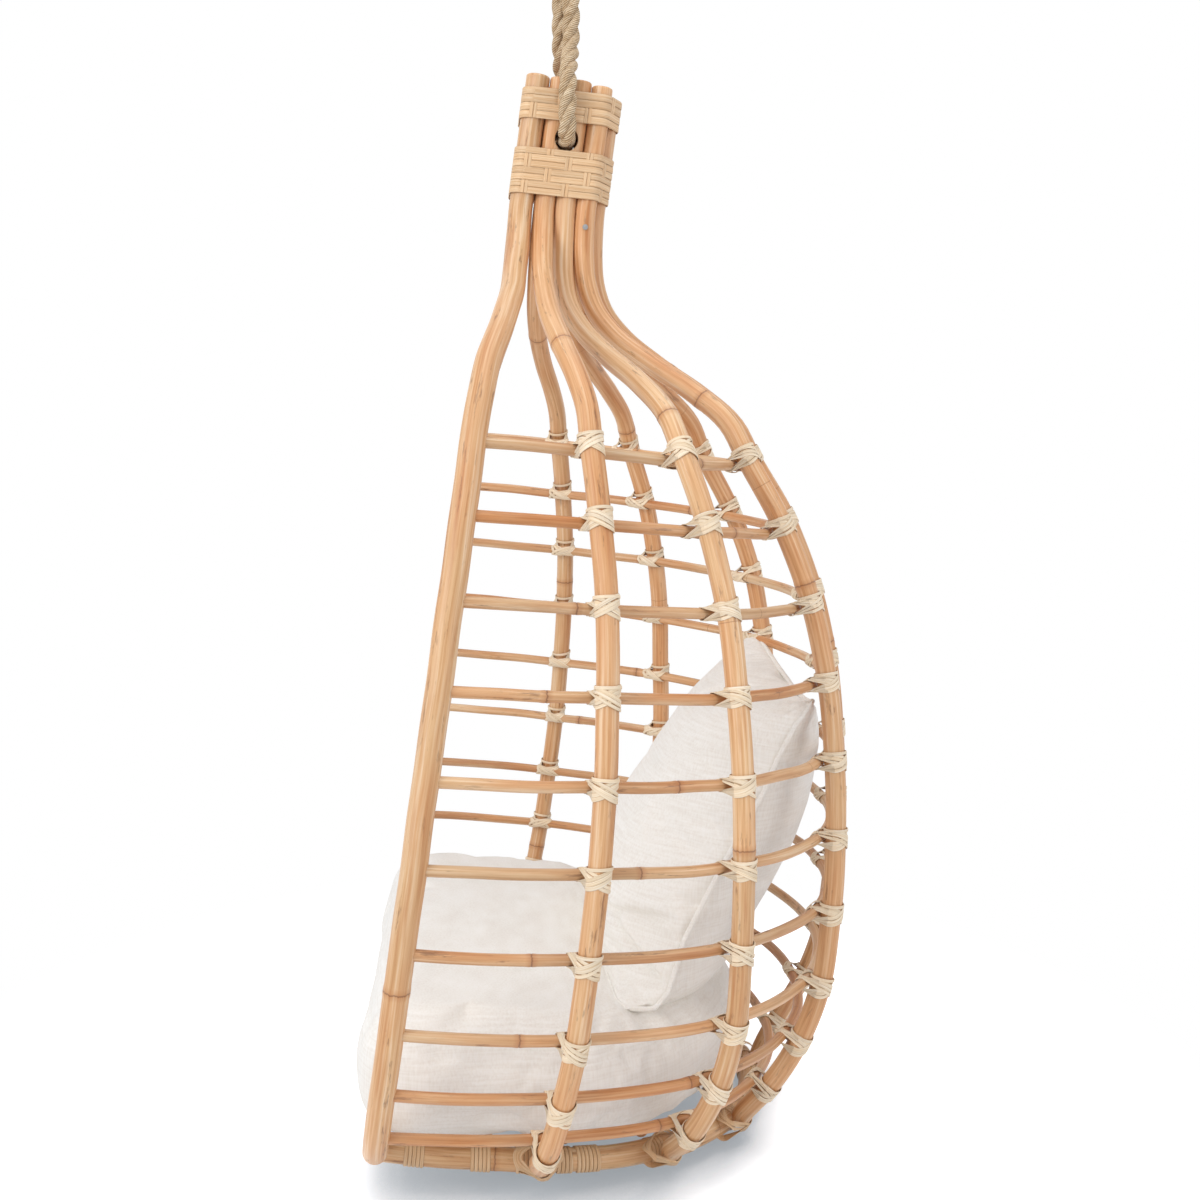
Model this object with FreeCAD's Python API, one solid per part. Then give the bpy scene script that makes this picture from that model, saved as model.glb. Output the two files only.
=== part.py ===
import FreeCAD, Part
import math
import os

from FreeCAD import Vector

# Hanging egg chair of bent rattan poles. Lengths are millimetres. The chair is drawn upright in its own
# frame, X across, Y towards the back and Z up, with Z = 0 at the middle of the base hoop. The last step
# leans it back as it hangs and sets it under the swivel, whose eye is the origin.

# Attitude and hanging point
LEAN_BACK = 4.5          # degrees that the hanging chair leans back
HANG_SETBACK = 163.7     # the chair frame's origin is this far in front of the eye
HANG_DROP = 1551.5       # and this far below it

# Poles
RIB_R = 12.3
RIM_R = 14.0
HOOP_R = 6.5
BASE_R = 13.5
SLAT_R = 9.0
GAP = 0.3                # clearance between poles that are tied together

# The egg: rib centre lines at each height, as height, half width, reach behind the middle, middle
EGG = [
    (-20, 262, 297, 120), (-2, 277, 312, 117), (16, 304, 326, 106), (35, 336, 338, 100), (60, 368, 352, 97),
    (125, 397, 381, 99), (197, 408, 397, 102), (285, 408, 399, 103), (373, 400, 393, 104),
    (462, 392, 382, 103), (552, 375, 365, 101), (640, 354, 339, 98), (726, 332, 301, 92),
    (801, 306, 255, 85),
]
# Angle of each right-hand rib from straight back, at some heights
RIB_TURNS = {
    1: [(-20, 87.5), (-2, 87.0), (60, 85.2), (125, 84.6), (285, 83.6), (462, 82.9), (640, 83.0), (801, 83.7)],
    2: [(-20, 58.5), (-2, 58.0), (60, 57.2), (125, 56.8), (285, 57.9), (462, 58.9), (640, 59.3), (801, 59.7)],
    3: [(-20, 33.5), (-2, 33.0), (60, 31.5), (125, 30.7), (285, 30.3), (462, 29.5), (640, 29.7), (801, 31.3)],
}
HOOP_HEIGHTS = (801, 726, 640, 552, 462, 373, 285, 197, 125, 60)
BASE_HEIGHT = -2         # height of the base hoop, whose outside the feet of the ribs lap over
BASE_EGG = (262.0, 297.0, 118.0)     # its half width, its reach behind the middle, and the middle

# The front hoop: half width at each height down to the bend, then the points of its bottom
RIM = [
    (72, 364), (125, 384), (197, 393), (285, 397), (373, 397), (462, 390), (552, 376), (640, 355),
    (726, 332), (801, 306),
]
RIM_BOTTOM = [(332, 41), (272, 12), (190, -5), (95, -10), (0, -11)]
RIM_LEAN = 0.06          # the front hoop comes forward by this much for each millimetre down
RIM_TOP_Y = -7.0         # its place at the shoulder

# The neck and the head: where each pole stands in the head, low and high
SHOULDER = 801.0
HEAD_LOW = 1075.0
HEAD_HIGH = 1221.0
SIDE_FLARE = (950.0, 50.0)           # height and softness of the sideways spread, front rib and front hoop
DEPTH_FLARE = (890.0, 32.0)          # the same for the spread to the back
NECK_SOFTNESS = 45.0
HEAD_X = 21.5
HEAD_RIM_X = 20.0
HEAD_Y = {"rim": (26.0, 34.0), 1: (54.0, 61.0), 2: (79.0, 86.2), 3: (104.0, 111.4), "back": (116.3, 123.8)}
HEAD_TOPS = {"rim": 1227.0, 1: 1226.0, 2: 1225.0, 3: 1221.0, "back": 1212.0}
NECK_HEIGHTS = (835, 871, 903, 932, 962, 993, 1022, 1050, 1075, 1100)
CORE_Y = {"front": (42.9, 50.3), "middle": (66.5, 73.6), "back": (91.5, 98.7)}
CORE_R = 11.2
CORE_BOTTOM = 1084.0
CORE_TOP = 1212.0
ROPE_HOLE = (73.2, 1155.5)
ROPE_HOLE_R = 14.0
LOWER_BAND = (1088.0, 1142.0)
UPPER_BAND = (1175.0, 1211.0)
BAND_THICK = 2.6
BAND_R = 12.7            # corner radius of the bands' inside
NAIL_HEIGHT = 1056.0

# Lashings
CANE = 2.0
LASH_TALL = 28.0
BENT_LASH_TALL = 22.0    # on the top and the lowest hoop, where the ribs bend
LASH_WIDE = 24.0
LASH_ROOM = 0.45         # clearance of a straight collar on a bent pole
BENT_LASH_ROOM = 0.9
FOOT_LASH_WIDE = 46.0
BASE_WRAPS = [(-12, 22), (63, 24), (182, 26)]    # place along Y and length of the wraps on the base hoop

# Seat
SLAT_PLACES = (-8, 65, 155, 246, 345)
SLAT_STOP = 5.0          # the slats end this far inside the base hoop's middle
CUSHION_BOTTOM = 33.5
CUSHION_FRONT = -90.0
CUSHION_BACK = 392.0
CUSHION_HALF = 322.0
CUSHION_LAYERS = [       # height over the bottom, inset of the outline
    (0, 44), (5, 22), (17, 8), (38, 1), (66, 0), (98, 2), (118, 9), (130, 21), (136.5, 40), (139.5, 75),
    (140.7, 120), (141, 180),
]
PILLOW_HEAD = 372.0      # its width between the upper corners
PILLOW_FOOT = 476.0      # and between the lower ones, which it sits on
PILLOW_TALL = 386.0
PILLOW_THICK = 200.0
PILLOW_CENTRE = (0.0, 321.0, 359.0)
PILLOW_LEAN = 21.9       # degrees from upright
PILLOW_DRAWN = 20.0      # how far its sides pull in between the corners
PILLOW_SLUMP = 0.25      # how far each half settles, for each millimetre off the middle
PILLOW_LAYERS = [        # share of half the thickness, inset of the outline
    (0.0, 0), (0.10, 5), (0.25, 15), (0.45, 33), (0.65, 55), (0.82, 80), (0.94, 108), (0.99, 132), (1.0, 150),
]

# Rope, in the hanging frame
ROPE_R = 11.0
LEG_X = 11.3             # half the distance of the two legs above the head
LEG_TURN = 30.0          # degrees that the pair of legs is turned about the vertical
HOLE_LEG_X = 50.0        # the legs beside the head
LEG_SPREAD = (110.0, 71.0)           # heights over the hole where the legs spread to the sides of the head
EYE_TOP = 22.3           # height of the rope's middle over the thimble's
EYE_BEND = 25.0          # its bend there
EYE_CORNERS = (2.25, 60.75)          # angles of the corners of its bow, on each side
EYE_LEG_BEND = 60.0      # where the legs leave the thimble
EYE_LEG_RISE = 13.5      # from the top of the seizing to that bend's corner
ROPE_ENDS = (18.5, 16.5) # heights of the rope's two ends over the low end of the seizing
LEG_BEND = 58.0          # where they spread and straighten
HOLE_BEND = 22.0         # and at the edge of the hole in the head

# Swivel and ring, below the eye at the origin
LUG_R = 15.0
LUG_THICK = 12.0
EYE_BORE_R = 6.5
CUP_R = 18.0
CUP_TOP = -14.0
CUP_BOTTOM = -46.0
CAVITY_R = 13.0
CAVITY_TOP = -21.0
CAP_THICK = 5.0
STEM_R = 6.0
RUN = 0.08               # radial clearance of the turning stem
LOWER_EYE_Z = -78.0
LOWER_EYE_R = 17.0
WIRE_R = 5.0
RING_R = 28.0
THIMBLE_R = 8.0
THIMBLE_THICK = 3.0
RING_ROOM = 1.1          # clearance of the ring in the thimble, which its curve needs
SEIZING = (-230.0, -199.5)           # low and high end of the seizing on the rope
TWINE = 3.0              # its thickness
EDGE = 1.5               # rounding of the swivel's edges


def bend(sections, place, column):
    """Value of a column of a station list at a height, on a smooth curve through the stations."""
    rows = sorted(sections)
    last = len(rows) - 1
    low = max(0, min(last - 1, sum(1 for row in rows if row[0] <= place) - 1))
    before, after = max(0, low - 1), min(last, low + 2)
    p0, p1 = rows[low], rows[low + 1]
    span = p1[0] - p0[0]
    slope0 = (p1[column] - rows[before][column]) / (p1[0] - rows[before][0])
    slope1 = (rows[after][column] - p0[column]) / (rows[after][0] - p0[0])
    t = (place - p0[0]) / span
    h00 = 2 * t**3 - 3 * t**2 + 1
    h10 = t**3 - 2 * t**2 + t
    h01 = -2 * t**3 + 3 * t**2
    h11 = t**3 - t**2
    return h00 * p0[column] + h10 * span * slope0 + h01 * p1[column] + h11 * span * slope1


def flare(height, law):
    """1 at the shoulder and 0 at the head, along a logistic curve that levels off at the head."""
    def logistic(z):
        return 1.0 / (1.0 + math.exp((z - law[0]) / law[1]))
    foot = logistic(HEAD_LOW)
    slope = -foot * (1.0 - foot) / law[1]
    levelled = slope * (height - HEAD_LOW) * math.exp((height - HEAD_LOW) / NECK_SOFTNESS)
    return max(0.0, (logistic(height) - foot - levelled) / (logistic(SHOULDER) - foot))


def egg_point(angle, height):
    """Point of the egg at an angle from straight back."""
    turn = math.radians(angle)
    middle = bend(EGG, height, 3)
    x = bend(EGG, height, 1) * math.sin(turn)
    y = middle + bend(EGG, height, 2) * math.cos(turn)
    return Vector(x, y, height)


def head_y(pole, height):
    low, high = HEAD_Y[pole]
    return low + (high - low) * (height - HEAD_LOW) / (HEAD_HIGH - HEAD_LOW)


def rib_angle(pole, height):
    return 0.0 if pole == "back" else bend(RIB_TURNS[pole], min(height, SHOULDER), 1)


def rib_point(pole, height):
    """Centre line of a right-hand rib, 1 to 3, or of the back rib."""
    angle = rib_angle(pole, height)
    stand = 0.0 if pole == "back" else HEAD_X
    if height >= HEAD_LOW:
        return Vector(stand, head_y(pole, height), height)
    if height <= SHOULDER:
        return egg_point(angle, height)
    shoulder = egg_point(angle, SHOULDER)
    side = flare(height, SIDE_FLARE if pole == 1 else DEPTH_FLARE)
    depth = flare(height, DEPTH_FLARE)
    low = HEAD_Y[pole][0]
    return Vector(stand + (shoulder.x - stand) * side, low + (shoulder.y - low) * depth, height)


def rim_point(height):
    """Centre line of the front hoop's right-hand side."""
    if height >= HEAD_LOW:
        return Vector(HEAD_RIM_X, head_y("rim", height), height)
    y = RIM_TOP_Y + RIM_LEAN * (height - SHOULDER)
    if height <= SHOULDER:
        return Vector(bend(RIM, height, 1), y, height)
    side = flare(height, SIDE_FLARE)
    depth = flare(height, DEPTH_FLARE)
    low = HEAD_Y["rim"][0]
    width = HEAD_RIM_X + (bend(RIM, SHOULDER, 1) - HEAD_RIM_X) * side
    lean = RIM_TOP_Y + (RIM_LEAN * (height - SHOULDER)) * (1 - (1 - depth)**2)
    return Vector(width, lean + (low - RIM_TOP_Y) * (1 - depth)**2, height)


def mirrored(point):
    return Vector(-point.x, point.y, point.z)


def tangents(points, first=None, last=None):
    """Unit tangent at each point, from the circle through the point and its two neighbours."""
    result = []
    for i, point in enumerate(points):
        if 0 < i < len(points) - 1:
            a, b = point - points[i - 1], points[i + 1] - point
            result.append((a * (b.Length / a.Length) + b * (a.Length / b.Length)).normalize())
        else:
            result.append(None)
    result[0] = first or reflect(points[1] - points[0], result[1])
    result[-1] = last or reflect(points[-1] - points[-2], result[-2])
    return result


def reflect(chord, tangent):
    """Tangent at the far end of an arc that has this chord and this tangent at the near end."""
    along = Vector(chord).normalize()
    return (along * (2 * along.dot(tangent)) - tangent).normalize()


def arc(start, end, tangent):
    """Arc from start to end that leaves start along the tangent, or a straight run."""
    chord = end - start
    along = Vector(chord).normalize()
    across = tangent - along * along.dot(tangent)
    if across.Length < 1e-4:
        return Part.LineSegment(start, end).toShape()
    half_turn = math.atan2(across.Length, along.dot(tangent))
    bulge = across.normalize() * (chord.Length / 2 * math.tan(half_turn / 2))
    return Part.Arc(start, (start + end) * 0.5 + bulge, end).toShape()


def biarc(p0, t0, p1, t1):
    """Two tangent arcs from one point and tangent to the next."""
    v = p1 - p0
    both = t0 + t1
    spread = 2 * (1 - t0.dot(t1))
    if spread < 1e-9:
        reach = v.Length / 2
    else:
        reach = (-v.dot(both) + math.sqrt(v.dot(both)**2 + spread * v.dot(v))) / spread
    middle = (p0 + t0 * reach + p1 - t1 * reach) * 0.5
    second = reflect(middle - p0, t0)
    return [arc(p0, middle, t0), arc(middle, p1, second)]


def arc_path(points, first=None, last=None):
    """Smooth wire of tangent arcs through the points."""
    turns = tangents(points, first, last)
    edges = []
    for i in range(len(points) - 1):
        edges += biarc(points[i], turns[i], points[i + 1], turns[i + 1])
    return Part.Wire(edges), turns[0]


def pole_on(path, start_tangent, radius):
    """Round pole carried along a path of arcs."""
    start = path.Edges[0].valueAt(path.Edges[0].FirstParameter)
    section = Part.Wire(Part.makeCircle(radius, start, start_tangent))
    return path.makePipeShell([section], True, False)


def pole(points, radius, first=None, last=None):
    path, start_tangent = arc_path(points, first, last)
    return pole_on(path, start_tangent, radius)


def rod(radius, start, end):
    axis = end - start
    return Part.makeCylinder(radius, axis.Length, start, axis)


def rib_stations(name):
    return [row[0] for row in EGG[1:]] + list(NECK_HEIGHTS) + [1150, HEAD_TOPS[name]]


def rib_frame(name, height):
    """A rib's point at one of its stations, its direction and the way into the egg."""
    heights = rib_stations(name)
    here = rib_point(name, height)
    rise = tangents([rib_point(name, z) for z in heights])[heights.index(height)]
    angle = rib_angle(name, height)
    around = egg_point(angle - 1, height) - egg_point(angle + 1, height)
    inward = rise.cross(around).normalize()
    if inward.dot(Vector(0, bend(EGG, height, 3), height) - here) < 0:
        inward = inward * -1.0
    return here, rise, inward


def hoop_points(height, radius):
    """Right-hand half of a hoop: its end in the front hoop and a point inside each rib."""
    inside = []
    for name in (1, 2, 3, "back"):
        here, _, inward = rib_frame(name, height)
        inside.append(here + inward * (RIB_R + radius + GAP))
    return inside


def whole_hoop(end, half):
    return [end] + half + [mirrored(p) for p in reversed(half[:-1])] + [mirrored(end)]


def cut_to_rim(hoop, end, rim_direction):
    """Cuts both ends of a hoop to the round of the front hoop."""
    for side in (1, -1):
        middle = Vector(side * end.x, end.y, end.z)
        along = Vector(side * rim_direction.x, rim_direction.y, rim_direction.z)
        hoop = hoop.cut(rod(RIM_R + GAP, middle - along * 40, middle + along * 40))
    return largest(hoop)


def largest(shape):
    return max(shape.Solids, key=lambda solid: solid.Volume)


def make_cross_hoop(height):
    half = hoop_points(height, HOOP_R)
    end = rim_point(max(half[0].z, RIM[0][0]))
    direction = rim_point(end.z + 4) - rim_point(max(end.z - 4, RIM[0][0]))
    hoop = pole(whole_hoop(end, half), HOOP_R)
    return cut_to_rim(hoop, end, direction.normalize())


def base_end():
    """Point on the front hoop's bottom bend where the base hoop meets it."""
    x, z = RIM_BOTTOM[1]
    return Vector(x - 8, rim_bottom_y(z), z - 7)


def rim_bottom_y(height):
    return RIM_TOP_Y + RIM_LEAN * (height - SHOULDER)


def base_points():
    """The base hoop's centre line, from one end on the front hoop round the back to the other."""
    end = base_end()
    half_width, reach, middle = BASE_EGG
    straight = [Vector(half_width + 1, 0, BASE_HEIGHT + 2), Vector(half_width + 1, 65, BASE_HEIGHT)]
    turns = [math.radians(angle) for angle in (84, 66, 48, 32, 16, 0)]
    round_back = [Vector(half_width * math.sin(a), middle + reach * math.cos(a), BASE_HEIGHT) for a in turns]
    return whole_hoop(end, straight + round_back)


def make_base_hoop():
    """The thick hoop of the base, its ends hollowed to the front hoop."""
    fat_rim = pole(bottom_rim_points(), RIM_R + GAP)
    return largest(pole(base_points(), BASE_R).cut(fat_rim))


def bottom_rim_points():
    """The front hoop's bottom, up to the second cross hoop on both sides."""
    right = [rim_point(row[0]) for row in reversed(RIM[:2])]
    right += [Vector(x, rim_bottom_y(z), z) for x, z in RIM_BOTTOM]
    return right + [mirrored(p) for p in reversed(right[:-1])]


def rim_points():
    """Points of the front hoop from its right-hand top round the bottom to its left-hand top."""
    right = [rim_point(HEAD_TOPS["rim"]), rim_point(1150)]
    right += [rim_point(z) for z in reversed(NECK_HEIGHTS)]
    right += [rim_point(row[0]) for row in reversed(RIM[2:])]
    bottom = bottom_rim_points()
    return right + bottom + [mirrored(p) for p in reversed(right)]


def make_rim():
    return pole(rim_points(), RIM_R)


def make_rib(name, side=1):
    """A rib from the base hoop, which hollows its foot, to the top of the head."""
    points = [rib_point(name, height) for height in rib_stations(name)]
    if side < 0:
        points = [mirrored(p) for p in points]
    rib = pole(points, RIB_R)
    if name in (1, 2):
        rib = rib.cut(rope_hole())
    if name == 3:
        rib = rib.cut(nail_shank(side, 0.1))
    return rib


def rope_hole():
    y, z = ROPE_HOLE
    return rod(ROPE_HOLE_R, Vector(-60, y, z), Vector(60, y, z))


def nail_shank(side, extra):
    rib = rib_point(3, NAIL_HEIGHT)
    return rod(1.5 + extra, Vector(side * (rib.x + RIB_R + 0.2), rib.y, rib.z),
               Vector(side * (rib.x - 9), rib.y, rib.z))


def make_nails():
    """Nails that hold the last ribs of the neck, with flat heads."""
    nails = []
    for side in (1, -1):
        rib = rib_point(3, NAIL_HEIGHT)
        face = rib.x + RIB_R + 0.1
        head = rod(3.2, Vector(side * face, rib.y, rib.z), Vector(side * (face + 1.4), rib.y, rib.z))
        nails.append(head.fuse(nail_shank(side, 0.0)).removeSplitter())
    return Part.makeCompound(nails)


def core_line(name, height):
    low, high = CORE_Y[name]
    return Vector(0, low + (high - low) * (height - HEAD_LOW) / (HEAD_HIGH - HEAD_LOW), height)


def make_core(name, low, high):
    """Short pole in the middle row of the head."""
    return largest(rod(CORE_R, core_line(name, low), core_line(name, high)).cut(rope_hole()))


def band_outline(height, radius):
    half = HEAD_X + 0.1
    front = head_y("rim", height) - 1.6
    side, back = head_y(3, height), head_y("back", height)
    corners = [Vector(-half, front, height), Vector(half, front, height), Vector(half, side, height),
               Vector(0, back, height), Vector(-half, side, height)]
    return Part.makePolygon(corners + corners[:1]).makeOffset2D(radius)


def make_band(span):
    """Woven band round the head, without its weave."""
    outer = Part.makeLoft([band_outline(z, BAND_R + BAND_THICK) for z in span], True, True)
    inner = Part.makeLoft([band_outline(z, BAND_R) for z in (span[0] - 1, span[1] + 1)], True, True)
    return largest(outer.cut(inner))


def make_lashing(name, height, side):
    """Cane lashing where a hoop crosses a rib: a collar on the rib and one on the hoop, as one piece."""
    here, rise, inward = rib_frame(name, height)
    hoop = here + inward * (RIB_R + HOOP_R + GAP)
    around = hoop_direction(name, height)
    if side < 0:
        here, hoop = mirrored(here), mirrored(hoop)
        rise, around = mirrored(rise), mirrored(around)
    bent = height in (HOOP_HEIGHTS[0], HOOP_HEIGHTS[-1])
    tall = BENT_LASH_TALL if bent else LASH_TALL
    room = RIB_R + (BENT_LASH_ROOM if bent else LASH_ROOM)
    collar = rod(room + CANE, here - rise * tall / 2, here + rise * tall / 2)
    sleeve = rod(HOOP_R + LASH_ROOM + CANE, hoop - around * LASH_WIDE / 2, hoop + around * LASH_WIDE / 2)
    body = collar.fuse(sleeve)
    body = body.cut(rod(room, here - rise * LASH_TALL, here + rise * LASH_TALL))
    return largest(body.cut(rod(HOOP_R + LASH_ROOM, hoop - around * LASH_TALL, hoop + around * LASH_TALL)))


def hoop_direction(name, height):
    """Direction of a cross hoop where it passes a rib."""
    half = hoop_points(height, HOOP_R)
    points = whole_hoop(rim_point(max(half[0].z, RIM[0][0])), half)
    return tangents(points)[4 if name == "back" else name]


def make_lashings(name, side=1):
    return Part.makeCompound([make_lashing(name, height, side) for height in HOOP_HEIGHTS])


def sleeve_on_base(y, length, side):
    """Wrap of cane on the base hoop at a place along Y."""
    point, along = base_place(y)
    if side < 0:
        point, along = mirrored(point), mirrored(along)
    low, high = point - along * length / 2, point + along * length / 2
    room = BASE_R + GAP + length**2 / 1800
    return rod(room + CANE, low, high).cut(rod(room, low - along, high + along))


def base_place(y):
    """Point and direction of the base hoop's right-hand side at a place along Y."""
    path, _ = arc_path(base_points())
    best = None
    for edge in path.Edges[:8]:
        for i in range(41):
            at = edge.FirstParameter + (edge.LastParameter - edge.FirstParameter) * i / 40
            point = edge.valueAt(at)
            if best is None or abs(point.y - y) < abs(best[0].y - y):
                best = (point, edge.tangentAt(at).normalize())
    return best


def make_base_lashings(ribs):
    """Cane wraps on the base hoop and the lashings that hold the ribs' feet to it."""
    wraps = [sleeve_on_base(y, length, side) for side in (1, -1) for y, length in BASE_WRAPS]
    for name in (1, 2, 3, "back"):
        foot = rib_point(name, BASE_HEIGHT).y
        wraps += [sleeve_on_base(foot, FOOT_LASH_WIDE, side) for side in ((1,) if name == "back" else (1, -1))]
    slats = [slat_rod(y, SLAT_R + GAP) for y in SLAT_PLACES]
    return Part.makeCompound([largest(wrap.cut(slats + ribs)) for wrap in wraps])


def slat_rod(y, radius):
    point, _ = base_place(y)
    height = point.z + BASE_R + SLAT_R + GAP
    reach = point.x - SLAT_STOP
    return rod(radius, Vector(-reach, y, height), Vector(reach, y, height))


def outline_wire(height, inset):
    """The seat cushion's outline: a bowed front, round corners, straight sides and a round back."""
    front, half, back = CUSHION_FRONT + inset, CUSHION_HALF - inset, CUSHION_BACK - inset
    corner = 58.0 * (1 - inset / 230.0)
    turn = 118.0 + 0.2 * inset           # where the round back begins
    middle = Vector(0, turn, height)
    depth = back - turn

    def back_point(angle):
        a = math.radians(angle)
        return Vector(half * math.cos(a), middle.y + depth * math.sin(a), height)

    def corner_point(side, angle):
        a = math.radians(angle)
        return Vector(side * (half - corner + corner * math.cos(a)), front + 10 + corner - corner * math.sin(a),
                      height)
    edges = [Part.Arc(corner_point(-1, 90), Vector(0, front, height), corner_point(1, 90)),
             Part.Arc(corner_point(1, 90), corner_point(1, 45), corner_point(1, 0)),
             Part.LineSegment(corner_point(1, 0), back_point(0))]
    for a in (0, 45, 90, 135):
        edges.append(Part.Arc(back_point(a), back_point(a + 22.5), back_point(a + 45)))
    edges += [Part.LineSegment(back_point(180), corner_point(-1, 0)),
              Part.Arc(corner_point(-1, 0), corner_point(-1, 45), corner_point(-1, 90))]
    return Part.Wire([edge.toShape() for edge in edges])


def make_seat_cushion():
    """Thick seat pad with drawn-in edges and a crowned top."""
    layers = [outline_wire(CUSHION_BOTTOM + rise, inset) for rise, inset in CUSHION_LAYERS]
    return Part.makeLoft(layers, True, True)


def pillow_wire(level, inset):
    """One slice of the pillow: a square whose sides pull in between its corners, rounder further out."""
    settle = PILLOW_SLUMP * level
    wide = {1: PILLOW_HEAD / 2 - inset, -1: PILLOW_FOOT / 2 - inset}
    tall = PILLOW_TALL / 2 - inset - abs(settle)
    soft = min(16.0 + 1.5 * inset, 0.9 * tall)
    drawn = PILLOW_DRAWN * max(0.0, 1 - inset / 50.0)
    corners = [(-1, -1), (1, -1), (1, 1), (-1, 1)]
    edges = []
    for i, (cx, cz) in enumerate(corners):
        nx, nz = corners[(i + 1) % 4]
        bx, bz = corners[i - 1]
        out = Vector(cx * wide[cz], level, cz * tall - settle)
        onward = Vector(nx * wide[nz], level, nz * tall - settle)
        to_next = (onward - out).normalize()
        to_last = (Vector(bx * wide[bz], level, bz * tall - settle) - out).normalize()
        start, end = out + to_last * soft, out + to_next * soft
        tip = out + (to_last + to_next) * (soft * (1 - math.sqrt(0.5)))
        edges.append(Part.Arc(start, tip, end))
        far = onward - to_next * soft
        if drawn > 0.5:
            inward = Vector(-(cx + nx), 0, -(cz + nz)).normalize()
            edges.append(Part.Arc(end, (end + far) * 0.5 + inward * drawn, far))
        else:
            edges.append(Part.LineSegment(end, far))
    return Part.Wire([edge.toShape() for edge in edges])


def make_back_pillow():
    """Square scatter pillow, crowned both sides, leaning against the back."""
    half = PILLOW_THICK / 2
    behind = [pillow_wire(half * level, inset) for level, inset in PILLOW_LAYERS]
    before = [pillow_wire(-half * level, inset) for level, inset in reversed(PILLOW_LAYERS[1:])]
    slices = before + behind
    pillow = Part.makeLoft(slices, True, False)
    pillow.rotate(Vector(0, 0, 0), Vector(1, 0, 0), -PILLOW_LEAN)
    pillow.translate(Vector(*PILLOW_CENTRE))
    return pillow


def hang(shape):
    """Leans a chair shape back and sets it under the swivel."""
    turned = shape.copy()
    turned.rotate(Vector(0, 0, 0), Vector(1, 0, 0), -LEAN_BACK)
    turned.translate(Vector(0, -HANG_SETBACK, -HANG_DROP))
    return turned


def hung_point(point):
    lean = math.radians(LEAN_BACK)
    return Vector(point.x, point.y * math.cos(lean) + point.z * math.sin(lean) - HANG_SETBACK,
                  point.z * math.cos(lean) - point.y * math.sin(lean) - HANG_DROP)


def ring_centre():
    return Vector(0, 0, LOWER_EYE_Z - LOWER_EYE_R + 2 * WIRE_R + GAP - RING_R)


def thimble_centre():
    return ring_centre() - Vector(0, 0, RING_R + THIMBLE_R - WIRE_R - RING_ROOM)


def rope_route():
    """Corners of the rope's route from the seizing, round the thimble, down, through the head and up."""
    hole = hung_point(Vector(0, *ROPE_HOLE))
    top = thimble_centre().z
    neck = SEIZING[1] + EYE_LEG_RISE
    leave = hole.z + LEG_SPREAD[0]
    side = hole.z + LEG_SPREAD[1]
    reach = EYE_BEND / math.cos(math.radians((EYE_CORNERS[1] - EYE_CORNERS[0]) / 2))
    middle = top + EYE_TOP - EYE_BEND
    bow = [Vector(reach * math.cos(math.radians(a)), 0, middle + reach * math.sin(math.radians(a)))
           for a in EYE_CORNERS]
    near = [leg_point(SEIZING[0] + ROPE_ENDS[0]), leg_point(neck)] + bow
    far = [opposite(p) for p in reversed(near[1:])]
    down = [opposite(leg_point(leave)), Vector(-HOLE_LEG_X, 0, side), Vector(-HOLE_LEG_X, hole.y, hole.z)]
    up = [Vector(HOLE_LEG_X, hole.y, hole.z), Vector(HOLE_LEG_X, 0, side), leg_point(leave)]
    return near + far + down + up + [leg_point(SEIZING[0] + ROPE_ENDS[1])]


def leg_point(height):
    """Middle of the near leg of the rope, between the thimble and the head."""
    turn = math.radians(LEG_TURN)
    return Vector(LEG_X * math.cos(turn), LEG_X * math.sin(turn), height)


def opposite(point):
    return Vector(-point.x, -point.y, point.z)


def rounded_route(points, radii):
    """Straight runs joined by arcs of the given radii at the inner points."""
    edges = []
    here = points[0]
    for i in range(1, len(points) - 1):
        a = (points[i - 1] - points[i]).normalize()
        b = (points[i + 1] - points[i]).normalize()
        turn = math.pi - a.getAngle(b)
        cut = radii[i - 1] * math.tan(turn / 2)
        start, end = points[i] + a * cut, points[i] + b * cut
        tip = (a + b).normalize()
        middle = points[i] + tip * (radii[i - 1] / math.cos(turn / 2) - radii[i - 1])
        edges += [Part.LineSegment(here, start).toShape(), Part.Arc(start, middle, end).toShape()]
        here = end
    edges.append(Part.LineSegment(here, points[-1]).toShape())
    return edges


def make_rope():
    """The hanging rope as one tube: it leaves the seizing, rounds the thimble and threads the head."""
    route = rope_route()
    bow = [EYE_BEND - 0.4] * 4
    legs = [LEG_BEND, LEG_BEND, HOLE_BEND, HOLE_BEND, LEG_BEND, LEG_BEND]
    path = Part.Wire(rounded_route(route, [EYE_LEG_BEND] + bow + [EYE_LEG_BEND] + legs))
    section = Part.Wire(Part.makeCircle(ROPE_R, route[0], route[1] - route[0]))
    rope = path.makePipeShell([section], True, False)
    print("rope length %.1f, volume over section times length %.4f"
          % (path.Length, rope.Volume / (math.pi * ROPE_R**2 * path.Length)))
    return rope


def make_seizing():
    """Sleeve that binds the two legs of the rope below the thimble."""
    low, high = SEIZING
    gap = ROPE_R + GAP

    def oval(radius, bottom, top):
        parts = [rod(radius, Vector(x, 0, bottom), Vector(x, 0, top)) for x in (-LEG_X, LEG_X)]
        box = Part.makeBox(2 * LEG_X, 2 * radius, top - bottom, Vector(-LEG_X, -radius, bottom))
        return parts[0].fuse([parts[1], box]).removeSplitter()
    sleeve = largest(oval(gap + TWINE, low, high).cut(oval(gap, low - 1, high + 1)))
    sleeve.rotate(Vector(0, 0, 0), Vector(0, 0, 1), LEG_TURN)
    return sleeve


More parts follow.
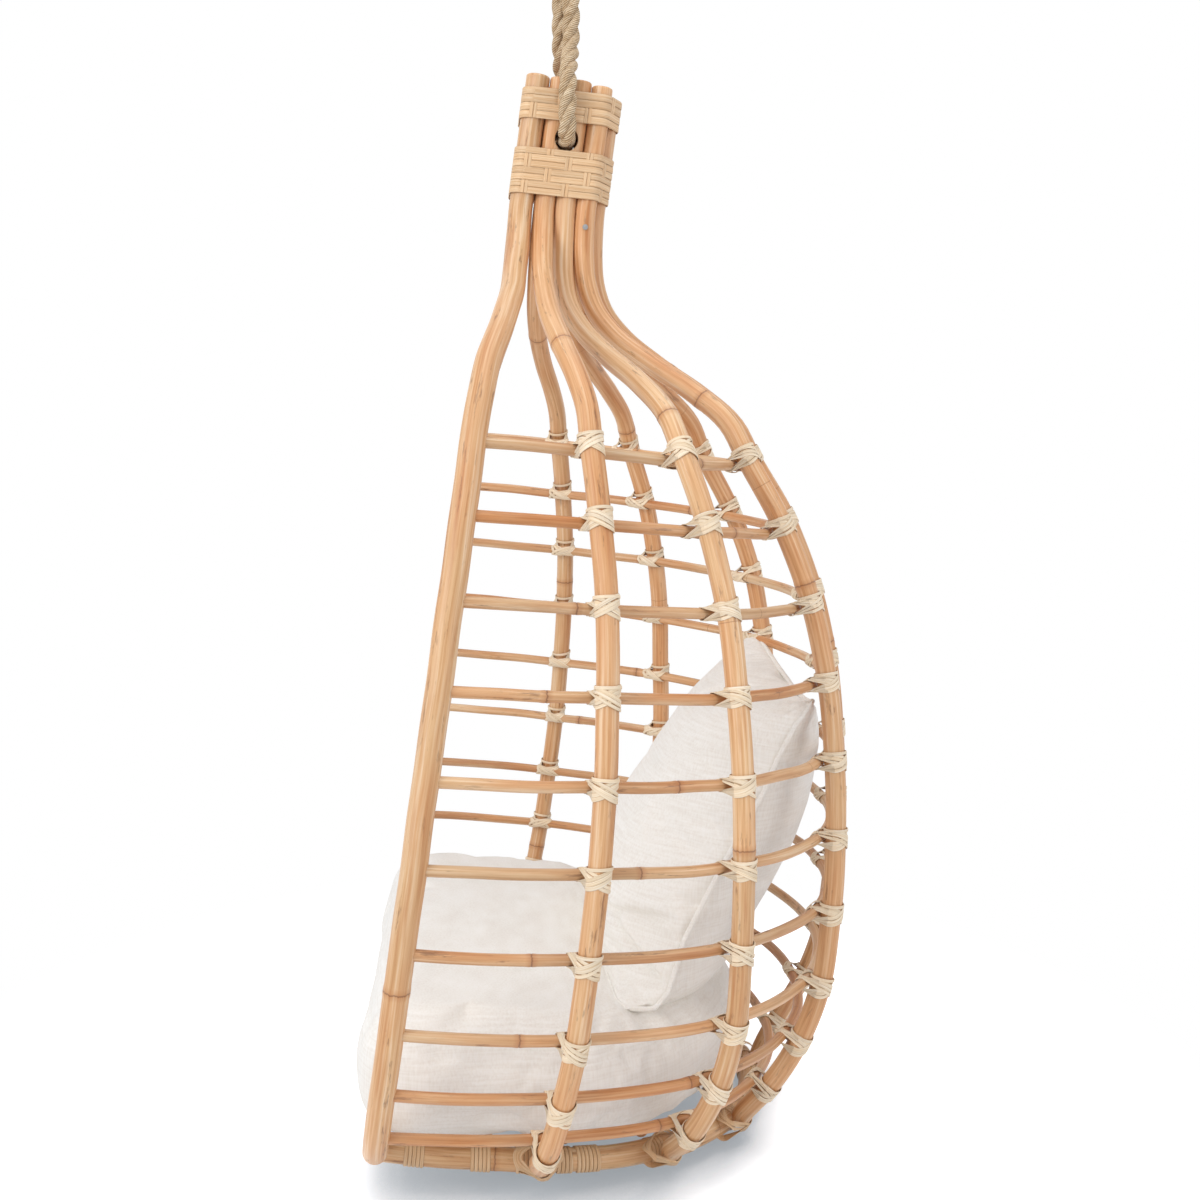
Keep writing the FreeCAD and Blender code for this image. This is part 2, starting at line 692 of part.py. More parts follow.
def make_swivel_body():
    """Swivel housing: a drilled lug on top of a cup that opens downwards."""
    lug = Part.makeCylinder(LUG_R, LUG_THICK, Vector(0, -LUG_THICK / 2, 0), Vector(0, 1, 0))
    web = Part.makeBox(2 * LUG_R, LUG_THICK, -CUP_TOP, Vector(-LUG_R, -LUG_THICK / 2, CUP_TOP))
    cup = rod(CUP_R, Vector(0, 0, CUP_BOTTOM), Vector(0, 0, CUP_TOP))
    body = lug.fuse([web, cup.makeFillet(EDGE, [edge for edge in cup.Edges if edge.Closed])]).removeSplitter()
    body = body.cut(rod(EYE_BORE_R, Vector(0, -20, 0), Vector(0, 20, 0)))
    return largest(body.cut(rod(CAVITY_R, Vector(0, 0, CUP_BOTTOM - 1), Vector(0, 0, CAVITY_TOP))))


def washer(outer, inner, low, high):
    return rod(outer, Vector(0, 0, low), Vector(0, 0, high)).cut(
        rod(inner, Vector(0, 0, low - 1), Vector(0, 0, high + 1)))


def make_swivel_cap():
    return washer(CAVITY_R - 0.05, STEM_R + RUN, CUP_BOTTOM, CUP_BOTTOM + CAP_THICK)


def make_thrust_bearing():
    low = CUP_BOTTOM + CAP_THICK + 0.1
    return washer(11.5, STEM_R + RUN, low, low + 5)


def make_stem_nut():
    low = CUP_BOTTOM + CAP_THICK + 5.2
    return washer(9.6, STEM_R + 0.05, low, low + 8)


def torus(radius, centre, axis):
    return Part.makeTorus(radius, WIRE_R, centre, axis)


def make_lower_eye():
    """Turning stem of the swivel with its round eye."""
    eye = torus(LOWER_EYE_R, Vector(0, 0, LOWER_EYE_Z), Vector(0, 1, 0))
    stem = rod(STEM_R, Vector(0, 0, LOWER_EYE_Z + LOWER_EYE_R), Vector(0, 0, CAVITY_TOP - 5.5))
    return eye.fuse(stem).removeSplitter()


def make_ring():
    return torus(RING_R, ring_centre(), Vector(1, 0, 0))


def make_thimble():
    """Grooved metal bow inside the rope's eye."""
    centre = thimble_centre()
    wide = 6.5
    outer = rod(THIMBLE_R + THIMBLE_THICK - 0.3, centre - Vector(0, wide, 0), centre + Vector(0, wide, 0))
    inner = rod(THIMBLE_R, centre - Vector(0, wide + 1, 0), centre + Vector(0, wide + 1, 0))
    return outer.cut(inner)


def chair_parts():
    """Every piece of the chair itself, in the chair's frame."""
    base = make_base_hoop()
    saddle = pole(base_points(), BASE_R + GAP)
    ribs = {"back_rib": make_rib("back")}
    for number in (1, 2, 3):
        ribs["rib_right_%d" % number] = make_rib(number)
        ribs["rib_left_%d" % number] = make_rib(number, -1)
    ribs = {name: largest(rib.cut(saddle)) for name, rib in ribs.items()}
    parts = dict(ribs)
    parts["front_hoop"] = make_rim()
    parts["base_hoop"] = base
    for number in (1, 2, 3):
        parts["lashings_right_%d" % number] = make_lashings(number)
        parts["lashings_left_%d" % number] = make_lashings(number, -1)
    parts["lashings_back"] = make_lashings("back")
    for number, height in enumerate(HOOP_HEIGHTS, 1):
        parts["cross_hoop_%02d" % number] = make_cross_hoop(height)
    parts["base_lashings"] = make_base_lashings(list(ribs.values()))
    for number, y in enumerate(SLAT_PLACES, 1):
        parts["seat_slat_%d" % number] = slat_rod(y, SLAT_R)
    parts["head_core_front"] = make_core("front", CORE_BOTTOM, CORE_TOP)
    parts["head_core_back"] = make_core("back", CORE_BOTTOM, CORE_TOP)
    parts["head_core_middle_lower"] = make_core("middle", CORE_BOTTOM, ROPE_HOLE[1])
    parts["head_core_middle_upper"] = make_core("middle", ROPE_HOLE[1], CORE_TOP)
    parts["head_band_lower"] = make_band(LOWER_BAND)
    parts["head_band_upper"] = make_band(UPPER_BAND)
    parts["head_nails"] = make_nails()
    parts["seat_cushion"] = make_seat_cushion()
    parts["back_pillow"] = make_back_pillow()
    return parts


def hanging_parts():
    """Rope, ring and swivel, in the hanging frame."""
    return {
        "hanging_rope": make_rope(),
        "rope_seizing": make_seizing(),
        "rope_thimble": make_thimble(),
        "hanging_ring": make_ring(),
        "swivel_lower_eye": make_lower_eye(),
        "swivel_stem_nut": make_stem_nut(),
        "swivel_thrust_bearing": make_thrust_bearing(),
        "swivel_cap": make_swivel_cap(),
        "swivel_body": make_swivel_body(),
    }


os.makedirs("parts", exist_ok=True)
nodes = {name: hang(shape) for name, shape in chair_parts().items()}
nodes.update(hanging_parts())
for name, shape in nodes.items():
    if not shape.isValid():
        print("not valid:", name)
    shape.exportStep("parts/%s.step" % name)
print(len(nodes), "nodes")
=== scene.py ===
# Hanging egg chair of lashed rattan poles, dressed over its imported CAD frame.
# Shape values are in mm, those of bump, dent, stage and camera in metres.
import math

import bpy
import numpy as np
from mathutils import Matrix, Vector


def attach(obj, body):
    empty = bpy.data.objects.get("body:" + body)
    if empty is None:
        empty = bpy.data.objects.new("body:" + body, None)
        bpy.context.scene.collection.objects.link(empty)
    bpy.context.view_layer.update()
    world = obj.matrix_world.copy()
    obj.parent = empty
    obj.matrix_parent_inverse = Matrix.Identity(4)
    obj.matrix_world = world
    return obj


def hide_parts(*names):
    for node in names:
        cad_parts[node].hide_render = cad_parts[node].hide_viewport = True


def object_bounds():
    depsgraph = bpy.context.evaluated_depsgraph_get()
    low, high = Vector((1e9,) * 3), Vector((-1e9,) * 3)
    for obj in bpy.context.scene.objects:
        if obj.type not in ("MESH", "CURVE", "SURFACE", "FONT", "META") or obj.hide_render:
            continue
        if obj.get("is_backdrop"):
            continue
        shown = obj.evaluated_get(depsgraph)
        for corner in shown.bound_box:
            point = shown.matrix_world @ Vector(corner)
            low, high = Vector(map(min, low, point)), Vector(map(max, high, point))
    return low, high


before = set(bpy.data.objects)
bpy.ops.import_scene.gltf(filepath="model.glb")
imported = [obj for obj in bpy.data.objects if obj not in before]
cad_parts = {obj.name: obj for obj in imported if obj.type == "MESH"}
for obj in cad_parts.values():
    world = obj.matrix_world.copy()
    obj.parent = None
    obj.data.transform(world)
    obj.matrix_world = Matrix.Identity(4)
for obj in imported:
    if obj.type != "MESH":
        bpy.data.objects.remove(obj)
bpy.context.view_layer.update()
print("frame loaded:", len(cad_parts), "nodes")


# ---- the chair's own drawing, upright, with z = 0 at the middle of the base hoop

attitude = {"leanBack": 4.5, "setback": 163.7, "drop": 1551.5}

egg = {  # height: half width, reach behind the middle, middle
    "rows": [(-20, 262, 297, 120), (-2, 277, 312, 117), (16, 304, 326, 106), (35, 336, 338, 100), (60, 368, 352, 97),
             (125, 397, 381, 99), (197, 408, 397, 102), (285, 408, 399, 103), (373, 400, 393, 104),
             (462, 392, 382, 103), (552, 375, 365, 101), (640, 354, 339, 98), (726, 332, 301, 92), (801, 306, 255, 85)],
    "turns": {1: [(-20, 87.5), (-2, 87.0), (60, 85.2), (125, 84.6), (285, 83.6), (462, 82.9), (640, 83.0), (801, 83.7)],
              2: [(-20, 58.5), (-2, 58.0), (60, 57.2), (125, 56.8), (285, 57.9), (462, 58.9), (640, 59.3), (801, 59.7)],
              3: [(-20, 33.5), (-2, 33.0), (60, 31.5), (125, 30.7), (285, 30.3), (462, 29.5), (640, 29.7), (801, 31.3)],
              "back": [(-20, 0), (-2, 0), (801, 0)]},
    "hoopHeights": (801, 726, 640, 552, 462, 373, 285, 197, 125, 60),
    "base": (262, 297, 118), "baseHeight": -2, "baseTurns": (84, 66, 48, 32, 16, 0), "baseEnd": (8, 7),
    "baseSide": (1, 2, 65),
}
rim = {
    "rows": [(72, 364), (125, 384), (197, 393), (285, 397), (373, 397), (462, 390), (552, 376), (640, 355),
             (726, 332), (801, 306)],
    "bottom": [(332, 41), (272, 12), (190, -5), (95, -10), (0, -11)], "lean": 0.06, "topY": -7.0,
}
head = {
    "shoulder": 801.0, "low": 1075.0, "high": 1221.0, "sideFlare": (950.0, 50.0), "depthFlare": (890.0, 32.0),
    "soft": 45.0, "x": 21.5, "rimX": 20.0,
    "y": {"rim": (26.0, 34.0), 1: (54.0, 61.0), 2: (79.0, 86.2), 3: (104.0, 111.4), "back": (116.3, 123.8)},
    "tops": {"rim": 1227.0, 1: 1226.0, 2: 1225.0, 3: 1221.0, "back": 1212.0},
    "neck": (835, 871, 903, 932, 962, 993, 1022, 1050, 1075, 1100),
    "cores": {"front": (42.9, 50.3), "middle": (66.5, 73.6), "back": (91.5, 98.7)}, "coreRadius": 11.2,
    "coreBottom": 1084.0, "coreTop": 1212.0, "coreGap": 15.0,
    "hole": (73.2, 1155.5), "holeRadius": 14.0, "holeReach": [60, 0, 0],
}
poles = {
    "rib": 12.3, "rim": 14.0, "hoop": 6.5, "base": 13.5, "slat": 9.0, "gap": 0.3,
    "ringApart": (380.0, 620.0), "ringShy": 12, "ringSwell": 0.6, "swellReach": 5.0, "ringGroove": 0.4,
    "grooveReach": 0.8, "rounding": 0.4, "cut": 0.2, "crooked": 0.7, "bowEvery": (90, 260), "bowEnds": 60,
    "oval": 0.014, "ovalEvery": 190, "headSwell": 0.045, "swellFrom": 930, "swellOver": 120, "footCut": -9.0,
}


def unit(vectors):
    return vectors / np.maximum(np.linalg.norm(vectors, axis=-1, keepdims=True), 1e-12)


def hung(points):
    # drawing in mm to the hanging frame in metres: turned back about X, then set back and lowered
    lean = math.radians(attitude["leanBack"])
    x, y, z = points[..., 0], points[..., 1], points[..., 2]
    return 0.001 * np.stack([x, y * math.cos(lean) + z * math.sin(lean) - attitude["setback"],
                             z * math.cos(lean) - y * math.sin(lean) - attitude["drop"]], -1)


def hermite(t, start, leave, end, arrive):
    # cubic from start to end, with its slopes at both
    return ((2 * t**3 - 3 * t**2 + 1) * start + (t**3 - 2 * t**2 + t) * leave
            + (3 * t**2 - 2 * t**3) * end + (t**3 - t**2) * arrive)


def throughRows(rows, at, column):
    # cubic through the rows, whose slope at a row is that of the chord between its neighbours
    rows = np.array(sorted(rows), float)
    place, value = rows[:, 0], rows[:, column]
    slope = np.concatenate([[(value[1] - value[0]) / (place[1] - place[0])],
                            (value[2:] - value[:-2]) / (place[2:] - place[:-2]),
                            [(value[-1] - value[-2]) / (place[-1] - place[-2])]])
    at = np.asarray(at, float)
    i = np.clip(np.searchsorted(place, at, side="right") - 1, 0, len(place) - 2)
    span = place[i + 1] - place[i]
    t = (at - place[i]) / span
    return hermite(t, value[i], span * slope[i], value[i + 1], span * slope[i + 1])


def flare(height, law):
    # 1 at the shoulder and 0 at the head: a logistic curve that levels off at the head
    logistic = lambda z: 1.0 / (1.0 + np.exp((z - law[0]) / law[1]))
    foot = logistic(head["low"])
    slope = -foot * (1.0 - foot) / law[1]
    levelled = slope * (height - head["low"]) * np.exp((height - head["low"]) / head["soft"])
    return np.maximum(0.0, (logistic(height) - foot - levelled) / (logistic(head["shoulder"]) - foot))


def eggPoint(angle, height):
    # ellipse of the egg at a height, at an angle from straight back
    turn = np.radians(angle)
    height = np.asarray(height, float)
    return np.stack([throughRows(egg["rows"], height, 1) * np.sin(turn),
                     throughRows(egg["rows"], height, 3) + throughRows(egg["rows"], height, 2) * np.cos(turn),
                     height + 0 * turn], -1)


def headY(pole, height):
    low, high = head["y"][pole]
    return low + (high - low) * (height - head["low"]) / (head["high"] - head["low"])


def byHeight(height, body, neck, x, pole):
    # the egg up to the shoulder, the neck above it, then straight up the head
    top = np.stack([x + 0 * height, headY(pole, height), height], -1)
    up = height[..., None]
    return np.where(up >= head["low"], top, np.where(up <= head["shoulder"], body, neck))


def ribPoint(pole, height):
    # up the egg to the shoulder, then in along the two flares to its place in the head
    height = np.asarray(height, float)
    onEgg = np.minimum(height, head["shoulder"])
    angle = throughRows(egg["turns"][pole], onEgg, 1)
    body = eggPoint(angle, onEgg)
    side = flare(height, head["sideFlare"] if pole == 1 else head["depthFlare"])
    depth = flare(height, head["depthFlare"])
    stand, low = (0.0 if pole == "back" else head["x"]), head["y"][pole][0]
    neck = np.stack([stand + (body[..., 0] - stand) * side, low + (body[..., 1] - low) * depth, height], -1)
    return byHeight(height, body, neck, stand, pole)


def rimPoint(height):
    # the front hoop's right side: its own widths to the shoulder, then the flares to the head
    height = np.asarray(height, float)
    onSide = np.clip(height, rim["rows"][0][0], head["shoulder"])
    side, depth = flare(height, head["sideFlare"]), flare(height, head["depthFlare"])
    y = rim["topY"] + rim["lean"] * (height - head["shoulder"])
    width = throughRows(rim["rows"], onSide, 1)
    neckX = head["rimX"] + (width - head["rimX"]) * side
    neckY = (rim["topY"] + (y - rim["topY"]) * (1 - (1 - depth)**2)
             + (head["y"]["rim"][0] - rim["topY"]) * (1 - depth)**2)
    return byHeight(height, np.stack([width, y, height], -1), np.stack([neckX, neckY, height], -1), head["rimX"], "rim")


def asDrawn(points):
    return points


def mirrored(points):
    return points * np.array([-1.0, 1.0, 1.0])


def arcTangents(points):
    # at each point the direction of the circle through it and its neighbours; the ends mirror the next one
    steps = np.diff(points, axis=0)
    sizes = np.linalg.norm(steps, axis=1, keepdims=True)
    inner = unit(steps[:-1] * sizes[1:] / sizes[:-1] + steps[1:] * sizes[:-1] / sizes[1:])
    chord = steps / sizes
    first = 2 * (chord[0] @ inner[0]) * chord[0] - inner[0]
    last = 2 * (chord[-1] @ inner[-1]) * chord[-1] - inner[-1]
    return np.vstack([first, inner, last])


def smoothLine(points, perSpan=20):
    # cubic pieces that leave and meet the points along their arc tangents, pulled as far as an arc would be
    points = np.asarray(points, float)
    tangents = arcTangents(points)
    chords = np.linalg.norm(np.diff(points, axis=0), axis=1)
    turn = np.arccos(np.clip((tangents[:-1] * tangents[1:]).sum(1), -1, 1))
    pull = (chords / np.cos(turn / 4)**2)[:, None, None]
    t = np.linspace(0, 1, perSpan, endpoint=False)[None, :, None]
    line = hermite(t, points[:-1, None], tangents[:-1, None] * pull, points[1:, None], tangents[1:, None] * pull)
    return np.vstack([line.reshape(-1, 3), points[-1:]])


def ribStations(pole):
    return np.array([row[0] for row in egg["rows"][1:]] + list(head["neck"]) + [1150, head["tops"][pole]], float)


def crossing(pole, height):
    # a rib's point at a hoop's height, the rib's direction and the way into the egg
    stations = ribStations(pole)
    points = ribPoint(pole, stations)
    i = int(np.argmin(abs(stations - height)))
    rise = arcTangents(points)[i]
    angle = throughRows(egg["turns"][pole], height, 1)
    inward = unit(np.cross(rise, eggPoint(angle - 1, height) - eggPoint(angle + 1, height)))
    middle = np.array([0, throughRows(egg["rows"], height, 3), height])
    return points[i], rise, inward * (1 if inward @ (middle - points[i]) > 0 else -1)


def hoopCorners(height):
    # the points a cross hoop passes, from its end in the front hoop round the back to the other end
    reach = poles["rib"] + poles["hoop"] + poles["gap"]
    inside = []
    for pole in (1, 2, 3, "back"):
        here, _, inward = crossing(pole, height)
        inside.append(here + inward * reach)
    end = rimPoint(max(inside[0][2], rim["rows"][0][0]))
    half = np.vstack([end, inside])
    return np.vstack([half, mirrored(half[-2::-1])])


def rimBottomY(height):
    return rim["topY"] + rim["lean"] * (height - head["shoulder"])


def baseCorners():
    width, reach, middle = egg["base"]
    x, z = rim["bottom"][1]
    turns, low = np.radians(egg["baseTurns"]), egg["baseHeight"]
    (inset, drop), (out, rise, y) = egg["baseEnd"], egg["baseSide"]
    half = np.vstack([[x - inset, rimBottomY(z), z - drop], [width + out, 0, low + rise], [width + out, y, low],
                      np.stack([width * np.sin(turns), middle + reach * np.cos(turns), low + 0 * turns], -1)])
    return np.vstack([half, mirrored(half[-2::-1])])


def rimCorners():
    sides = np.array([head["tops"]["rim"], 1150, *head["neck"][::-1], *[row[0] for row in rim["rows"][::-1]]], float)
    right = np.vstack([rimPoint(sides), [[x, rimBottomY(z), z] for x, z in rim["bottom"]]])
    return np.vstack([right, mirrored(right[-2::-1])])


# ---- meshes

def lengths(line):
    return np.concatenate([[0.0], np.cumsum(np.linalg.norm(np.diff(line, axis=0), axis=1))])


def sampled(at, run, values):
    # each column of the values, read off at arc lengths
    return np.stack([np.interp(at, run, column) for column in values.T], -1)


def placed(line, stations):
    # points and unit directions of a line at arc lengths
    run = lengths(line)
    keep = np.concatenate([[True], np.diff(run) > 1e-9])
    line, run = line[keep], run[keep]
    direction = unit(np.gradient(line, run, axis=0))
    return sampled(stations, run, line), unit(sampled(stations, run, direction))


def crossFrame(tangents, reference):
    # side and up of each section, so that side x up = tangent
    side = unit(np.cross(np.broadcast_to(reference, tangents.shape), tangents))
    return side, np.cross(tangents, side)


def circle(count):
    return np.linspace(0, 2 * math.pi, count, endpoint=False)


def tube(line, side, up, radius, angle):
    # round sections along a line
    return line[:, None] + radius * (np.cos(angle) * side[:, None] + np.sin(angle) * up[:, None])


def gridFaces(rows, sides, closed=False):
    # quads of a tube of rows of points, wound so that they face outwards
    r = np.arange(rows if closed else rows - 1)[:, None] * sides
    c = np.arange(sides)[None, :]
    up = (r + sides) % (rows * sides)
    quads = np.stack([r + c, r + (c + 1) % sides, up + (c + 1) % sides, up + c], -1).reshape(-1, 4)
    faces = quads.tolist()
    if not closed:
        faces += [list(range(sides))[::-1], [(rows - 1) * sides + i for i in range(sides)]]
    return faces


def joined(parts):
    # several (points, faces, marks) as one
    points, faces, marks, start = [], [], {}, 0
    for partPoints, partFaces, partMarks in parts:
        points.append(partPoints.reshape(-1, 3))
        faces += [[i + start for i in face] for face in partFaces]
        for key, values in partMarks.items():
            marks.setdefault(key, []).append(values.reshape(len(points[-1]), -1))
        start += len(points[-1])
    return np.vstack(points), faces, {key: np.vstack(values) for key, values in marks.items()}


def newObject(name, data):
    piece = bpy.data.objects.new(name, data)
    bpy.context.scene.collection.objects.link(piece)
    return piece


def evaluated(piece):
    # the mesh that the modifiers make of it
    bpy.context.view_layer.update()
    return bpy.data.meshes.new_from_object(piece.evaluated_get(bpy.context.evaluated_depsgraph_get()))


def meshPoints(mesh):
    return np.array([v.co for v in mesh.vertices])


def movePoints(mesh, points):
    mesh.vertices.foreach_set("co", points.astype(np.float32).ravel())


def onChair(name, mesh, finish, stands):
    mesh.materials.clear()
    mesh.materials.append(finish)
    mesh.update()
    piece = newObject(name, mesh)
    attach(piece, "chair")
    if stands:
        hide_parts(*stands)
    return piece


def addPiece(name, surface, finish, stands=(), upright=True, sharp=40):
    # points go into the mesh once, in the row's own frame
    points, faces, marks = surface
    points = points.reshape(-1, 3)
    place = hung(points) if upright else points * 0.001
    mesh = bpy.data.meshes.new(name)
    mesh.from_pydata(place.tolist(), [], faces)
    for key, values in marks.items():
        values = values.reshape(len(points), -1)
        kind = "FLOAT_VECTOR" if values.shape[1] == 3 else "FLOAT"
        attribute = mesh.attributes.new(key, kind, "POINT")
        attribute.data.foreach_set("vector" if kind == "FLOAT_VECTOR" else "value",
                                   values.astype(np.float32).ravel())
    mesh.shade_smooth()
    if sharp:
        mesh.set_sharp_from_angle(angle=math.radians(sharp))
    return onChair(name, mesh, finish, stands)


def poleSurface(line, reference, radius, seed, ringsAt=None, sides=22, step=11.0, crooked=None, tint=0.5, sawn=()):
    # tube along the line: radius swells and then nips in at each growth ring, and both ends are rounded over
    chance = np.random.default_rng(seed)
    total = lengths(line)[-1]
    if ringsAt is None:
        gaps = chance.uniform(*poles["ringApart"], 60)
        ringsAt = np.cumsum(gaps) - gaps[0] * chance.uniform(0.2, 0.9)
    shy = poles["ringShy"]
    rings = np.array([r for r in ringsAt if shy < r < total - shy] or [total + 500.0])
    edge = radius * poles["rounding"]
    ends = edge * np.array([0.0, 0.03, 0.08, 0.16, 0.3, 0.6, 1.0])
    near = (rings[:, None] + np.array([-7.0, -4.0, -2.0, -0.9, 0.0, 0.9, 2.0, 4.0, 7.0])).ravel()
    stations = np.concatenate([ends, total - ends, near[(near > edge) & (near < total - edge)],
                               np.arange(edge + step, total - edge - 2, step)])
    stations = np.unique(np.round(stations, 3))
    points, tangents = placed(line, stations)
    side, up = crossFrame(tangents, np.asarray(reference, float))
    gap = stations[:, None] - rings[None, :]
    nearest = gap[np.arange(len(stations)), np.argmin(abs(gap), 1)]
    fromEnd = np.minimum(stations, total - stations)
    # how far the rounding goes in, less at an end that was sawn
    atStart, atEnd = (poles["cut"] if end in sawn else poles["rounding"] for end in ("start", "end"))
    share = np.where(stations < total / 2, atStart, atEnd)
    rounded = np.sqrt(np.clip(1 - (1 - np.clip(fromEnd / (radius * share), 0, 1))**2, 0.0, 1))
    inHead = np.clip((points[:, 2] - poles["swellFrom"]) / poles["swellOver"], 0, 1)
    size = radius * (1 - share * (1 - rounded)) * (1 + poles["headSwell"] * inHead)
    size = size + poles["ringSwell"] * np.exp(-(nearest / poles["swellReach"])**2)
    size = size - poles["ringGroove"] * np.exp(-(nearest / poles["grooveReach"])**2) - poles["ringSwell"] * 0.5
    wave = chance.uniform(*poles["bowEvery"], (3, 2))
    phase = chance.uniform(0, 2 * math.pi, (3, 2))
    bow = np.sin(stations[:, None, None] / wave * 2 * math.pi + phase).sum(1) / 3
    bow = bow * (poles["crooked"] if crooked is None else crooked)
    bow = bow * np.clip(fromEnd / poles["bowEnds"], 0, 1)[:, None]
    points = points + side * bow[:, :1] + up * bow[:, 1:]
    angle = circle(sides)[None, :]
    oval = 1 + poles["oval"] * np.cos(2 * angle + stations[:, None] / poles["ovalEvery"] + phase[0, 0])
    reach = size[:, None] * oval
    surface = tube(points, side, up, reach[..., None], angle[..., None])
    start = chance.uniform(0, 4000)
    grain = np.stack([radius * np.cos(angle) + 0 * reach, radius * np.sin(angle) + 0 * reach,
                      stations[:, None] + start + 0 * reach], -1) * 0.001
    stretch = np.searchsorted(rings, stations, side="right")
    tone = chance.uniform(0, 1, len(rings) + 1)[stretch]
    marks = {"grain": grain, "ringGap": np.repeat(np.clip(nearest, -40, 40) * 0.001, sides),
             "growth": np.repeat(tone, sides), "endGap": np.repeat(np.clip(fromEnd, 0, 40) * 0.001, sides),
             "tint": np.full(sides * len(stations), tint)}
    return surface, gridFaces(len(stations), sides), marks


def ribbon(points, normals, width, thick, chance, closed=True):
    # flat strip with a slightly crowned face, carried along many paths at once: points are (strips, places, 3)
    ahead = np.roll(points, -1, -2) - np.roll(points, 1, -2)
    if not closed:
        ahead[..., 0, :] = points[..., 1, :] - points[..., 0, :]
        ahead[..., -1, :] = points[..., -1, :] - points[..., -2, :]
    tangents = unit(ahead)
    side = unit(np.cross(normals, tangents))
    normals = np.cross(tangents, side)
    across = np.array([-0.5, 0.5, 0.38, 0.0, -0.38])
    rise = np.array([0.05, 0.05, 0.88, 1.0, 0.88])
    width = np.broadcast_to(width, points.shape[:-1])[..., None]
    surface = (points[..., None, :] + side[..., None, :] * (width * across)[..., None]
               + normals[..., None, :] * (thick * rise)[:, None])
    strips, places = points.shape[0], points.shape[1]
    one = gridFaces(places, 5, closed)
    faces = [[i + strip * places * 5 for i in face] for strip in range(strips) for face in one]
    steps = np.linalg.norm(np.diff(points, axis=1), axis=2)
    run = np.concatenate([np.zeros((strips, 1)), np.cumsum(steps, 1)], 1)
    run = (run + chance.uniform(0, 3000, (strips, 1)))[..., None]
    grain = np.stack([across + 0 * run, rise + 0 * run, run * 0.001 + 0 * across], -1)
    tone = np.broadcast_to(chance.uniform(0, 1, (strips, 1, 1)), (strips, places, 5))
    return surface, faces, {"grain": grain, "growth": tone}


# ---- materials

def linear(hexColour):
    # sRGB hex to the linear values that the shaders take
    values = [int(hexColour[i:i + 2], 16) / 255 for i in (1, 3, 5)]
    return [v / 12.92 if v <= 0.04045 else ((v + 0.055) / 1.055)**2.4 for v in values] + [1.0]


def fill(tree, node, sockets):
    # links an input to another node's output, or sets its value, which may be a hex colour
    for key, value in sockets.items():
        if isinstance(value, bpy.types.NodeSocket):
            tree.links.new(value, node.inputs[key])
        else:
            node.inputs[key].default_value = linear(value) if isinstance(value, str) else value


def add(tree, kind, settings={}, sockets={}):
    # adds a node, sets its properties and fills its inputs; "stops" are a ramp's (place, hex) pairs
    node = tree.nodes.new("ShaderNode" + kind)
    for key, value in settings.items():
        if key == "stops":
            elements = node.color_ramp.elements
            while len(elements) < len(value):
                elements.new(0.5)
            for element, (place, colour) in zip(elements, value):
                element.position, element.color = place, linear(colour)
        else:
            setattr(node, key, value)
    fill(tree, node, sockets)
    return node


def spread(tree, value, low, high, toLow, toHigh):
    # value from low..high to toLow..toHigh, clamped
    return add(tree, "MapRange", {}, {0: value, 1: low, 2: high, 3: toLow, 4: toHigh}).outputs[0]


def computed(tree, operation, *values, clamp=False):
    return add(tree, "Math", {"operation": operation, "use_clamp": clamp}, dict(enumerate(values))).outputs[0]


def ramp(tree, value, places, tones):
    return add(tree, "ValToRGB", {"stops": list(zip(places, tones))}, {0: value}).outputs[0]


def blended(tree, share, under, over):
    return add(tree, "Mix", {"data_type": "RGBA"}, {0: share, 6: under, 7: over}).outputs[2]


def mark(tree, name, output):
    return add(tree, "Attribute", {"attribute_name": name}).outputs[output]


def stretched(tree, vector, scale):
    return add(tree, "Mapping", {}, {"Vector": vector, "Scale": scale}).outputs[0]


def noise(tree, vector, scale, detail, rough=0.5):
    sockets = {"Vector": vector, "Scale": scale, "Detail": detail, "Roughness": rough}
    return add(tree, "TexNoise", {}, sockets).outputs[0]


def raised(tree, shader, height, strength, distance):
    # bump whose full height is the distance in metres
    bump = add(tree, "Bump", {}, {"Strength": strength, "Distance": distance, "Height": height}).outputs[0]
    fill(tree, shader, {"Normal": bump})


def bareRays(tree):
    # 1 for rays that look at the backdrop itself: from the camera, in a shiny surface or through glass
    path = add(tree, "LightPath").outputs
    seen = computed(tree, "ADD", path["Is Camera Ray"], path["Is Glossy Ray"], clamp=True)
    return computed(tree, "ADD", seen, path["Is Transmission Ray"], clamp=True)


def newMaterial(name):
    material = bpy.data.materials.new(name)
    material.use_nodes = True
    return material, material.node_tree, material.node_tree.nodes["Principled BSDF"]


